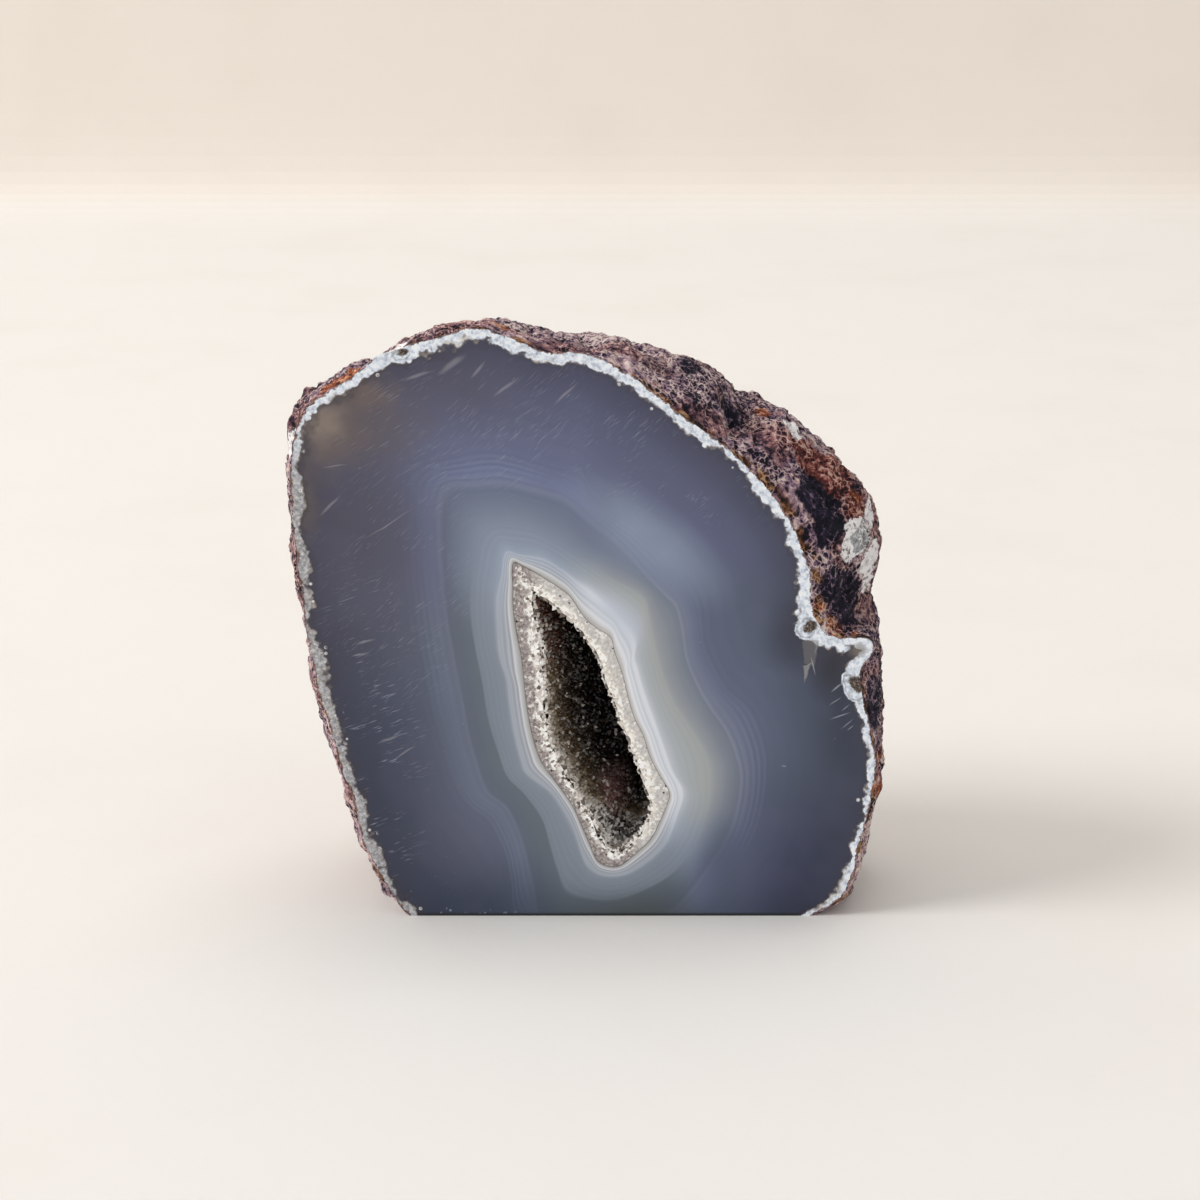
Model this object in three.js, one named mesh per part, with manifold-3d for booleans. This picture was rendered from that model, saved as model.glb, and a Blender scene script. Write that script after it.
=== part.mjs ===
// Half of an agate geode that stands on a sawn base. The front is sawn and polished flat, the
// back keeps its natural rind, and quartz crystals line the slanting hollow in the middle.
// Millimetres, +Z up. The polished face looks along -Y. The origin is on the surface that the
// stone stands on, under the middle of its bounding box.
import * as THREE from "three";
import { mergeVertices } from "three/addons/utils/BufferGeometryUtils.js";
import Module from "manifold-3d";

const wasm = await Module();
wasm.setup();

// Driving dimensions
const stoneDepth = 46; // polished face to the furthest lump of the rind
const noduleDepth = 45.2; // the same without the lumps, for the round shape under them
const faceY = -stoneDepth / 2; // where the polished face stands
const fullestDepth = 14; // depth behind the face where the stone is at its widest
const edgeRoll = 0.8; // how far the rind rolls outwards close behind the face
const axis = new THREE.Vector2(0, 30); // x, z that the outlines are measured around
const backLift = 8; // how far the furthest point of the back stands above that axis

const hollowDepth = 25.5; // polished face to the end of the hollow in the agate
const hollowLean = new THREE.Vector2(0.4, 0.14); // sideways and upward drift for each mm of depth
const crustGap = 0.35; // clearance between the crystal crust and the agate
const crustThickness = 2.3; // at the end of the hollow
const crystalHeight = 1.15; // mean height of a crystal point above the valleys round it

// Outlines as x, z points, anticlockwise from the right side of the base. The stretch below
// z = 0 is the part of the nodule that the base saw cut away.
const polishedEdge = [
  [33.2, 0], [37.4, 2.4], [39.4, 6], [40.8, 11.5], [42.1, 18], [42.9, 25], [42, 30], [40.8, 35],
  [40.3, 39.5], [42.1, 43.2], [41, 44.9], [36.4, 45.1], [33.8, 47.2], [32.7, 50.5], [32.2, 56],
  [29, 63.3], [24.4, 69.4], [18.4, 75.2], [12.8, 79], [7.4, 83.5], [3, 86.3], [-1, 87.8],
  [-6.3, 88], [-11.3, 90], [-16.3, 91.5], [-22.7, 90], [-29.6, 87.6], [-34.3, 84.3], [-38.7, 81.2],
  [-41.6, 78.3], [-43, 73.5], [-43.5, 68], [-43, 60], [-42.3, 50.8], [-41.3, 43], [-40.4, 36.8],
  [-37.6, 26.2], [-35.6, 19.3], [-34.3, 12.8], [-31.3, 6.2], [-27.2, 0], [-18, -8], [-4, -13],
  [12, -13], [25, -7],
];
const fullestSection = [
  [40, -2], [41.6, 3.4], [43.2, 8], [44.2, 12.1], [45.1, 17.3], [45.8, 23.4], [45.1, 29.6],
  [44.2, 36.7], [42.7, 43.1], [42.4, 46.8], [43.5, 51.6], [44.4, 55.9], [44.1, 59.2], [42.9, 62.6],
  [41.5, 65.8], [38.9, 68.4], [37.6, 70.9], [35.8, 72.5], [32.6, 75.3], [29.8, 76.9], [26.7, 77.5],
  [23, 79.2], [18.6, 82.7], [14.2, 84.7], [9.8, 86.5], [5, 87], [0.6, 86.8], [-4.4, 87.6],
  [-8.1, 88.7], [-13.2, 89.6], [-19, 89.6], [-24.2, 89], [-31.4, 85], [-36.6, 82.5], [-40.2, 80.4],
  [-42.6, 77.7], [-43.6, 73.6], [-44.8, 69], [-45, 64], [-44.5, 56.7], [-43.7, 47.4], [-43, 40.8],
  [-41.6, 33], [-39.5, 22], [-37.5, 15.1], [-35.8, 8.4], [-33.1, 1.3], [-29, -5.2], [-16, -14],
  [4, -17], [25, -13],
];
const backSection = [
  [41, 0], [46, 20], [46, 40], [42, 58], [32, 73], [15, 83], [-5, 87], [-24, 84], [-39, 74], [-45, 58],
  [-44, 38], [-39, 16], [-30, -2], [-16, -13], [4, -17], [25, -13],
];
const hollowMouth = [
  [4.5, 8.4], [6.6, 10.2], [9.2, 12.9], [10.5, 15.5], [11.6, 18.3], [12, 20.5], [10.5, 23.3],
  [9.1, 26.2], [6.5, 33], [4.9, 39.3], [3.9, 42.8], [3, 45.1], [-0.8, 48.2], [-2.8, 51.3],
  [-4.6, 52.8], [-7.9, 55], [-9.7, 56], [-11.1, 56.6], [-11.4, 55], [-11.3, 53], [-11.1, 48.5],
  [-10.1, 41.5], [-9.5, 36], [-8.7, 30.5], [-6.9, 24.8], [-4.7, 21.6], [-2.6, 18.2], [-1.2, 15],
  [0, 12], [0.9, 9.6], [2.5, 8.4],
];
const crystalLine = [
  [4, 10.4], [5.7, 11.4], [7.5, 13.2], [8.9, 15.8], [9.5, 18.4], [8.9, 20.4], [7.3, 24.8],
  [5.2, 30.8], [3.4, 35.5], [1.8, 40.6], [0.4, 43.8], [-2.7, 47.6], [-4.7, 49.7], [-6.6, 51.2],
  [-8.3, 52.2], [-8.5, 50.8], [-8.1, 48], [-7.5, 44.5], [-7, 41], [-6.8, 37.5], [-6.8, 34],
  [-6.4, 30.5], [-4.9, 26], [-2.9, 22], [-1, 18.4], [0.4, 15.4], [1.6, 12.8], [2.6, 11.2],
];

// Pits in the rind: which way each lies from the axis in degrees, depth behind the face
const pits = [
  { angle: 65, depth: 8.5, spread: 2.4, deep: 3 },
  { angle: 24, depth: 8, spread: 4.5, deep: 1.5 },
  { angle: 43, depth: 15, spread: 3, deep: 1.2 },
  { angle: 108, depth: 21, spread: 5, deep: 1.8 },
  { angle: 150, depth: 25, spread: 6, deep: 2 },
  { angle: 195, depth: 20, spread: 4, deep: 1.5 },
  { angle: 350, depth: 27, spread: 5, deep: 1.8 },
];

// How finely the faceted solids are drawn
const columnsPerPoint = 2; // columns of the rind for each point of the polished edge
const frontRingDepths = [0, 1.5, 3.5, 6, 8.7, 11.4];
const backRings = 19; // from the fullest section to the furthest point of the back
const hollowColumns = 84; // a multiple of three, so that the crystal pattern closes
const crystalRows = 20;
const wallRows = 5;

// Repeatable noise from -1 to 1, smooth between points one unit apart
function pointNoise(i, j, k) {
  const wave = Math.sin(i * 127.1 + j * 311.7 + k * 74.7) * 43758.5453;
  return 2 * (wave - Math.floor(wave)) - 1;
}
function smoothNoise(x, y, z) {
  const [i, j, k] = [x, y, z].map(Math.floor);
  const [u, v, w] = [x - i, y - j, z - k].map((t) => t * t * (3 - 2 * t));
  const along = (b, c) => THREE.MathUtils.lerp(pointNoise(i, b, c), pointNoise(i + 1, b, c), u);
  const across = (c) => THREE.MathUtils.lerp(along(j, c), along(j + 1, c), v);
  return THREE.MathUtils.lerp(across(k), across(k + 1), w);
}

const smoothOutline = (outline) =>
  new THREE.CatmullRomCurve3(
    outline.map(([x, z]) => new THREE.Vector3(x, 0, z)),
    true,
    "catmullrom",
    0.5,
  );

// Distance from the axis to an outline, as a function of the angle in radians
function radiusByAngle(outline) {
  const turn = 2 * Math.PI;
  const samples = smoothOutline(outline)
    .getPoints(outline.length * 24)
    .slice(0, -1)
    .map((p) => [p.x - axis.x, p.z - axis.y])
    .map(([x, z]) => [(Math.atan2(z, x) + turn) % turn, Math.hypot(x, z)])
    .sort((a, b) => a[0] - b[0]);
  const [first, last] = [samples[0], samples.at(-1)];
  const table = [[last[0] - turn, last[1]], ...samples, [first[0] + turn, first[1]]];
  return (angle) => {
    const a = ((angle % turn) + turn) % turn;
    const after = table.findIndex((row) => row[0] > a);
    const [low, high] = [table[after - 1], table[after]];
    return THREE.MathUtils.mapLinear(a, low[0], high[0], low[1], high[1]);
  };
}
const fullestRadius = radiusByAngle(fullestSection);
const backRadius = radiusByAngle(backSection);

// Lumps, ledges and pits of the rind, as a height along the outward direction. Back runs from 0
// at the fullest section to 1 at the furthest point, where the rind is worn smoother.
function rindHeight(point, angle, depth, back) {
  const at = (size, seed = 0) =>
    smoothNoise(point.x / size + seed, point.y / size, point.z / size);
  const broad = 1.6 * back * at(23, 40) + 0.8 * back * at(14, 7);
  let height = broad + at(11) + (0.7 * at(5) + 0.35 * at(2.4)) * (1 - 0.8 * back ** 3);
  for (const pit of pits) {
    const turn = angle - THREE.MathUtils.degToRad(pit.angle);
    const along = 2 * Math.sin(turn / 2) * Math.hypot(point.x - axis.x, point.z - axis.y);
    const off = Math.hypot(along, depth - pit.depth) / pit.spread;
    height -= pit.deep * Math.exp(-off * off);
  }
  return height;
}

// The rind's surface: from a point of the polished edge out to the fullest section, then in to
// the rounder sections of the back
function rindPoint(edge, depth) {
  const [x, z] = [edge.x - axis.x, edge.z - axis.y];
  const angle = Math.atan2(z, x);
  const out = Math.min(depth / fullestDepth, 1);
  const swell = 1 - (1 - out) ** 2;
  const roll = edgeRoll * (1 - (1 - out) ** 4);
  const back = Math.max(0, depth - fullestDepth) / (noduleDepth - fullestDepth);
  const round = Math.min(1, 2 * back);
  const fullest = THREE.MathUtils.lerp(fullestRadius(angle), backRadius(angle), round) - edgeRoll;
  const radius = THREE.MathUtils.lerp(Math.hypot(x, z), fullest, swell) + roll;
  const closing = Math.sqrt(1 - back ** 2);
  const lift = backLift * back ** 2;
  const place = (r, d) =>
    new THREE.Vector3(
      axis.x + r * Math.cos(angle),
      faceY + d,
      axis.y + lift + r * Math.sin(angle),
    );
  const bare = place(radius * closing, depth);
  const height = rindHeight(bare, angle, depth, back) * Math.min(1, depth / 4);
  return place((radius + height) * closing, depth + height * back);
}

// A surface of the hollow that starts from an outline on the polished face. Turn runs once
// round the outline from 0 to 1, and share from 0 at the mouth to 1 at the closed end.
function hollowSurface(outline, depth, inset = 0) {
  const curve = smoothOutline(outline);
  return (turn, share) => {
    const u = ((turn % 1) + 1) % 1;
    const side = curve.getTangentAt(u);
    const [x, z] = [curve.getPointAt(u).x - inset * side.z, curve.getPointAt(u).z + inset * side.x];
    const here = depth * Math.sin((share * Math.PI) / 2);
    const closing = Math.cos((share * Math.PI) / 2);
    return new THREE.Vector3(
      axis.x + (x - axis.x) * closing + hollowLean.x * here,
      faceY + here,
      axis.y + (z - axis.y) * closing + hollowLean.y * here,
    );
  };
}

// A closed body through rings of equal length, with a point beyond the first ring and the last.
// Where staggered is set, that ring and the next are half a step apart, as crystals are.
function bodyThrough(startPoint, rings, endPoint, staggered = () => false) {
  const columns = rings[0].length;
  const points = [startPoint, ...rings.flat(), endPoint];
  const at = (ring, i) => 1 + ring * columns + (i % columns);
  const last = points.length - 1;
  const index = [];
  for (let i = 0; i < columns; i++) {
    index.push(0, at(0, i), at(0, i + 1));
    for (let ring = 0; ring < rings.length - 1; ring++) {
      const [a, b, c, d] = [at(ring, i), at(ring, i + 1), at(ring + 1, i), at(ring + 1, i + 1)];
      if (staggered(ring)) index.push(a, c, d, a, d, b);
      else index.push(a, c, b, b, c, d);
    }
    index.push(at(rings.length - 1, i), last, at(rings.length - 1, i + 1));
  }
  const body = new THREE.BufferGeometry();
  body.setFromPoints(points);
  body.setIndex(index);
  return body;
}
const ringOf = (columns, offset, place) =>
  Array.from({ length: columns }, (_, i) => place((i + offset) / columns, i));

function solidFrom(geometry) {
  geometry.deleteAttribute("normal");
  geometry.deleteAttribute("uv");
  const merged = mergeVertices(geometry);
  return new wasm.Manifold(
    new wasm.Mesh({
      numProp: 3,
      vertProperties: merged.attributes.position.array,
      triVerts: new Uint32Array(merged.index.array),
    }),
  );
}
function geometryFrom(solid) {
  const mesh = solid.getMesh();
  const geometry = new THREE.BufferGeometry();
  geometry.setAttribute("position", new THREE.BufferAttribute(mesh.vertProperties, 3));
  geometry.setIndex(new THREE.BufferAttribute(mesh.triVerts, 1));
  geometry.computeVertexNormals();
  return geometry;
}

// The whole nodule behind the polished face, before the base is sawn and the hollow opened
function makeNodule() {
  const edge = smoothOutline(polishedEdge).getPoints(polishedEdge.length * columnsPerPoint);
  edge.pop();
  const backDepths = Array.from({ length: backRings }, (_, ring) => {
    const lean = ((ring / backRings) * Math.PI) / 2;
    return fullestDepth + (noduleDepth - fullestDepth) * Math.sin(lean);
  });
  const rings = [...frontRingDepths, ...backDepths].map((depth) =>
    edge.map((point) => rindPoint(point, depth)),
  );
  const faceMiddle = new THREE.Vector3(axis.x, faceY, axis.y);
  return bodyThrough(faceMiddle, rings, rindPoint(edge[0], noduleDepth));
}

// The open space in the agate, run out past the polished face so that it cuts cleanly
function makeHollow() {
  const surface = hollowSurface(hollowMouth, hollowDepth);
  const wall = Array.from({ length: wallRows + 1 }, (_, row) =>
    ringOf(hollowColumns, 0, (turn) => surface(turn, (0.94 * row) / wallRows)),
  );
  const runOut = new THREE.Vector3(0, -4, 0);
  const mouth = wall[0].map((point) => point.clone().add(runOut));
  const middle = new THREE.Vector3(axis.x, faceY, axis.y).add(runOut);
  return bodyThrough(middle, [mouth, ...wall], surface(0, 1));
}

function makeBaseWaste() {
  const [width, depth, height] = [160, 160, 60];
  return new THREE.BoxGeometry(width, depth, height).translate(0, 0, -height / 2);
}

function makeStone() {
  const nodule = solidFrom(makeNodule());
  const sawn = nodule.subtract(solidFrom(makeBaseWaste()));
  return geometryFrom(sawn.subtract(solidFrom(makeHollow())));
}

// The crust of quartz: a smooth outer wall against the agate, a flat polished rim at the mouth,
// and inside it six-sided crystal points that share the valleys between them.
function makeCrust() {
  const outer = hollowSurface(hollowMouth, hollowDepth - crustGap, crustGap);
  const inner = hollowSurface(crystalLine, hollowDepth - crustThickness);
  const outerWall = Array.from({ length: wallRows + 1 }, (_, row) =>
    ringOf(hollowColumns, 0, (turn) => outer(turn, (0.94 * row) / wallRows)),
  );
  const inward = (turn, share) => {
    const step = 0.01;
    const around = inner(turn + step, share).sub(inner(turn - step, share));
    const deeper = inner(turn, share + step).sub(inner(turn, share - step));
    return around.cross(deeper).normalize();
  };
  const crystals = Array.from({ length: crystalRows }, (_, row) => {
    const odd = row % 2;
    const share = (0.93 * row) / (crystalRows - 1);
    return ringOf(hollowColumns, odd / 2, (turn, i) => {
      const isPoint = (i + 2 * odd) % 3 === 0;
      const shift = row ? 0.007 * pointNoise(i, row, 2) : 0;
      const point = inner(turn + 0.0025 * pointNoise(i, row, 1), share + shift);
      const height = isPoint ? crystalHeight * (1 + 0.4 * pointNoise(i, row, 3)) : 0;
      const move = inward(turn, share).multiplyScalar(height);
      if (!row) move.y = 0;
      return point.add(move);
    });
  });
  const staggered = (ring) => ring < crystalRows - 1 && (crystalRows - 1 - ring) % 2 === 1;
  return bodyThrough(inner(0, 1), [...crystals.reverse(), ...outerWall], outer(0, 1), staggered);
}

function makePiece(name, geometry, color, roughness) {
  const material = new THREE.MeshStandardMaterial({ color, roughness, metalness: 0, flatShading: true });
  const piece = new THREE.Mesh(geometry, material);
  piece.name = name;
  return piece;
}

const geode = new THREE.Group();
geode.add(makePiece("agate_stone", makeStone(), "#6f7485", 0.3));
geode.add(makePiece("crystal_crust", makeCrust(), "#cfc6bd", 0.2));

export default geode;
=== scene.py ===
import math

import bmesh
import bpy
import numpy as np
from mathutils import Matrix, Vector


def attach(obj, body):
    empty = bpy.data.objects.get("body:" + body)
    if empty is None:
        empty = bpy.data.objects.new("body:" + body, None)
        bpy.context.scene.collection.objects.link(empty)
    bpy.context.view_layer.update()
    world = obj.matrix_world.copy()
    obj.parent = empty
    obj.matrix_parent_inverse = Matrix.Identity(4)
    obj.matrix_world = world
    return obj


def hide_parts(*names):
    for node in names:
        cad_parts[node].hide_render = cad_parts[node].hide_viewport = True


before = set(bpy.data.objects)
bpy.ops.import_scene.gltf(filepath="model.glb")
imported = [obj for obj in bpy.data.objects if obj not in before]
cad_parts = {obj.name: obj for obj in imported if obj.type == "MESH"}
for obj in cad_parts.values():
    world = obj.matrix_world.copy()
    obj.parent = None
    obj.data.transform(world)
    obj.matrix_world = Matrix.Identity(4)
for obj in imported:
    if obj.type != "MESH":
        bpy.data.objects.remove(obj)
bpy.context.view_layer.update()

mm = 0.001
turn = 2 * math.pi
rng = np.random.default_rng(7)


# small helpers for numbers and colours

def srgb(red, green, blue, alpha=1.0):
    def linear(value):
        value /= 255
        return value / 12.92 if value <= 0.04045 else ((value + 0.055) / 1.055) ** 2.4
    return (linear(red), linear(green), linear(blue), alpha)


def asSeen(red, green, blue):  # the stone's own colour that comes out as this one on the lit, glossy face
    seen = srgb(red, green, blue)
    return (*[max(0.004, (part - 0.036) / share) for part, share in zip(seen, (0.74, 0.72, 0.7))], 1.0)


def ease(low, high, value):
    part = np.clip((value - low) / (high - low), 0, 1)
    return part * part * (3 - 2 * part)


def pointNoise(i, j, k):
    wave = np.sin(i * 127.1 + j * 311.7 + k * 74.7) * 43758.5453
    return 2 * (wave - np.floor(wave)) - 1


def smoothNoise(points, size, seed=0.0):  # -1 to 1, smooth between points one size apart
    cell = points / size + np.array([seed, 0, 0])
    low = np.floor(cell)
    part = cell - low
    part = part * part * (3 - 2 * part)
    total = 0
    for i in (0, 1):
        for j in (0, 1):
            for k in (0, 1):
                share = np.prod(np.where([i, j, k], part, 1 - part), axis=1)
                total = total + share * pointNoise(low[:, 0] + i, low[:, 1] + j, low[:, 2] + k)
    return total


def cellNoise(points, size, seed=0.0):  # distance to the nearest scattered point, and its number
    cell = points / size
    low = np.floor(cell)
    nearest = np.full(len(points), 9.0)
    number = np.zeros(len(points))
    for i in (-1, 0, 1):
        for j in (-1, 0, 1):
            for k in (-1, 0, 1):
                at = low + np.array([i, j, k])
                spot = at + 0.5 + 0.45 * np.stack(
                    [pointNoise(at[:, 0] + seed + n, at[:, 1], at[:, 2] + 3 * n) for n in (1, 2, 3)], axis=1)
                away = np.linalg.norm(cell - spot, axis=1)
                closer = away < nearest
                nearest = np.where(closer, away, nearest)
                number = np.where(closer, pointNoise(at[:, 0] + seed, at[:, 1] + 5, at[:, 2]), number)
    return nearest, number


def smoothLoop(outline, perPoint=24):  # points along the smooth closed curve through an outline
    points = np.array(outline, float)
    before, after, second = (np.roll(points, shift, axis=0) for shift in (1, -1, -2))
    t = (np.arange(perPoint) / perPoint)[None, :, None]
    a, b, c, d = (p[:, None, :] for p in (before, points, after, second))
    curve = 0.5 * (2 * b + (c - a) * t + (2 * a - 5 * b + 4 * c - d) * t**2 + (3 * b - a - 3 * c + d) * t**3)
    return curve.reshape(-1, 2)


def evenLoop(outline, count):  # the same curve as evenly spaced points
    curve = smoothLoop(outline)
    closed = np.vstack([curve, curve[:1]])
    along = np.concatenate([[0], np.cumsum(np.linalg.norm(np.diff(closed, axis=0), axis=1))])
    at = np.arange(count) / count * along[-1]
    return np.stack([np.interp(at, along, closed[:, n]) for n in (0, 1)], axis=1)


def radiusAt(outline, angles):  # distance from the stone's axis to an outline
    x, z = (smoothLoop(outline) - stone["axis"]).T
    around = np.arctan2(z, x) % turn
    order = np.argsort(around)
    return np.interp(angles % turn, around[order], np.hypot(x, z)[order], period=turn)


# the stone: agate, rim, rind and sawn base in one piece

stone = {
    "axis": (0, 30),  # x, z that the outlines are measured around
    "faceY": -23,
    "noduleDepth": 45.2,
    "fullestDepth": 14,
    "edgeRoll": 0.8,
    "backLift": 8,
    "polishedEdge": [
        (33.2, 0), (37.4, 2.4), (39.4, 6), (40.8, 11.5), (42.1, 18), (42.9, 25), (42, 30), (40.8, 35),
        (40.3, 39.5), (42.1, 43.2), (41, 44.9), (36.4, 45.1), (33.8, 47.2), (32.7, 50.5), (32.2, 56),
        (29, 63.3), (24.4, 69.4), (18.4, 75.2), (12.8, 79), (7.4, 83.5), (3, 86.3), (-1, 87.8),
        (-6.3, 88), (-11.3, 90), (-16.3, 91.5), (-22.7, 90), (-29.6, 87.6), (-34.3, 84.3), (-38.7, 81.2),
        (-41.6, 78.3), (-43, 73.5), (-43.5, 68), (-43, 60), (-42.3, 50.8), (-41.3, 43), (-40.4, 36.8),
        (-37.6, 26.2), (-35.6, 19.3), (-34.3, 12.8), (-31.3, 6.2), (-27.2, 0), (-18, -8), (-4, -13),
        (12, -13), (25, -7),
    ],
    "fullestSection": [
        (40, -2), (41.3, 3.4), (42.8, 8.2), (43.9, 12.2), (45.1, 17.3), (45.8, 23.4), (45.1, 29.6),
        (44.2, 36.7), (42.7, 43.1), (42.4, 46.8), (43.5, 51.6), (44.4, 55.9), (44.1, 59.2), (42.9, 62.6),
        (41.5, 65.8), (38.7, 68.1), (37, 70.2), (34.9, 71.6), (31.8, 74.2), (29.4, 76.2), (26.2, 76.6),
        (22.4, 78), (18.4, 82.4), (14.2, 84.5), (9.8, 86.2), (5, 86.7), (0.6, 86.3), (-4.4, 87.3),
        (-8, 88.3), (-13.1, 89), (-19, 89.6), (-24.2, 89), (-31.4, 85), (-36.6, 82.5), (-40.2, 80.4),
        (-42.6, 77.7), (-43.6, 73.6), (-44.8, 69), (-45, 64), (-44.5, 56.7), (-43.7, 47.4), (-43, 40.8),
        (-41.6, 33), (-39.5, 22), (-37.5, 15.1), (-35.8, 8.4), (-33.1, 1.3), (-29, -5.2), (-16, -14),
        (4, -17), (25, -13),
    ],
    "backSection": [
        (41, 0), (46, 20), (46, 40), (42, 58), (32, 73), (15, 83), (-5, 87), (-24, 84), (-39, 74),
        (-45, 58), (-44, 38), (-39, 16), (-30, -2), (-16, -13), (4, -17), (25, -13),
    ],
    "pits": [  # which way from the axis in degrees, depth behind the face, spread, how deep
        (65, 8.5, 2.4, 3.4), (24, 8, 4.5, 1.5), (43, 15, 3, 1.2), (108, 21, 5, 1.8), (150, 25, 6, 2),
        (195, 20, 4, 1.5), (350, 27, 5, 1.8), (30, 6, 2.2, 1.2), (50, 7, 2.4, 1.2), (75, 9, 2, 0.9),
    ],
    "columns": 760,
    "grain": 0.42,  # height in mm of the roughest grain of the rind
}

# bands of the agate as outlines on the polished face, from the hollow outwards
bands = {
    "mouth": [
        (-11.1, 56.6), (-9.7, 56), (-7.9, 55), (-4.6, 52.8), (-2.8, 51.3), (-0.8, 48.2), (1.3, 46.3), (3.1, 45.1),
        (3.8, 42.6), (4.9, 39.3), (6.5, 33), (8, 29.7), (9.1, 26.2), (10.5, 23.3), (12, 20.5),
        (11.6, 18.3), (10.5, 15.5), (9.2, 12.9), (6.6, 10.2), (4.5, 8.5), (2.6, 8.5), (1, 9.5),
        (0, 12), (-1.3, 15.2), (-2.6, 18.3), (-4.8, 21.7), (-6.9, 24.7), (-7.9, 27), (-8.8, 30.5),
        (-9.5, 35), (-10.1, 41.5), (-10.8, 45.5), (-11.3, 49.6), (-11.3, 53), (-11.4, 55),
    ],
    "whiteLines": [
        (-12.4, 58.2), (-10.2, 57.9), (-6.8, 57.4), (-4.3, 55.9), (-2.1, 54.3), (0.1, 52.8), (2.3, 50.8),
        (4.8, 48.2), (6.4, 46.2), (7.0, 44.3), (6.8, 42.1), (7.4, 39.9), (8.2, 37.1), (9.7, 32.7),
        (11.2, 28.2), (12.7, 23.8), (14.3, 20.5),
        (13.4, 16.7), (11.6, 12.1), (8, 8.5), (4.9, 6.9), (1.9, 6.9), (-0.2, 8.2), (-1.2, 10.2),
        (-2.4, 14.1), (-3.9, 17.3), (-6, 20.5), (-9.5, 23.4), (-10.4, 25.7), (-11.4, 30.1),
        (-12.1, 35.2), (-12.4, 38.4), (-13.3, 41.5), (-13.7, 44.6), (-13.9, 50.8), (-13.1, 54.6),
    ],
    "paleZone": [
        (-15.6, 61.8), (-10.4, 62.4), (-5.7, 60.6), (-1, 57.5), (3.1, 54.5), (7.8, 51.4), (9, 47.7),
        (9.9, 43.4), (11.1, 39), (12.6, 35.2), (14.5, 32), (16.9, 28.2), (18.4, 24.4), (18.5, 20.5),
        (17.6, 16), (15.9, 11.5), (12.9, 7.5), (9.2, 4.9), (4.3, 2.9), (0.1, 2.9), (-3.6, 4.2),
        (-4.9, 7.5), (-6, 11.5), (-7.2, 16), (-9.7, 19.9), (-12.5, 23.1), (-13.8, 27), (-15.2, 32),
        (-16, 37.7), (-17.1, 44), (-17.7, 50.2), (-17, 56.9),
    ],
    "darkZone": [
        (-21.4, 67.5), (-16.2, 68.4), (-12.7, 68.6), (-9.2, 67.8), (-5.7, 66.9), (-3.4, 66),
        (-0.4, 63.3), (3.1, 60.6), (6, 57.5), (8.4, 54.5), (11.3, 51.4), (12.8, 49.6), (13.7, 45.9),
        (14.4, 41.5), (16.2, 37.1), (18, 33.9), (20.5, 30.1), (22, 26.3), (22.7, 22.5), (22.1, 17.3),
        (20.7, 12.8), (18.9, 9.5), (15.9, 4.9), (12.3, 0.9), (5, -3.4), (-2.4, -3.7), (-7.3, -1.1),
        (-8.5, 4.2), (-9.6, 9.5), (-10.8, 14.1), (-12.6, 18), (-15.3, 20.5), (-16.8, 24.4),
        (-18.2, 30.1), (-19, 35.2), (-20.1, 41.5), (-21.1, 47.7), (-21.7, 53.9), (-22, 60),
    ],
    "faintLines": [
        (-26, 70.2), (-20.2, 72.3), (-13.8, 73.2), (-6.2, 71.1), (-1.6, 69.9), (0.1, 67.2), (3.1, 64.2),
        (6, 62.4), (8.3, 60.6), (11.9, 57.5), (14.8, 53.9), (16.6, 50.2), (17.3, 44.6), (18.5, 41.5),
        (21, 37.1), (24, 33.9), (25.8, 30.1), (26.8, 25.7), (26.6, 19.9), (25.5, 14.7), (23.8, 10.8),
        (20.8, 5.6), (16, -1), (8, -7), (-4, -8), (-11, -1.1), (-12.1, 5.6), (-12.7, 9.5), (-13.9, 12.8),
        (-15.6, 16), (-18.7, 18.6), (-21, 22.5), (-22.8, 28.9), (-24.1, 35.2), (-24.8, 40.2),
        (-25.6, 44.6), (-26.1, 50.8), (-26.6, 56.9), (-26.8, 64.8),
    ],
}

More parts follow.
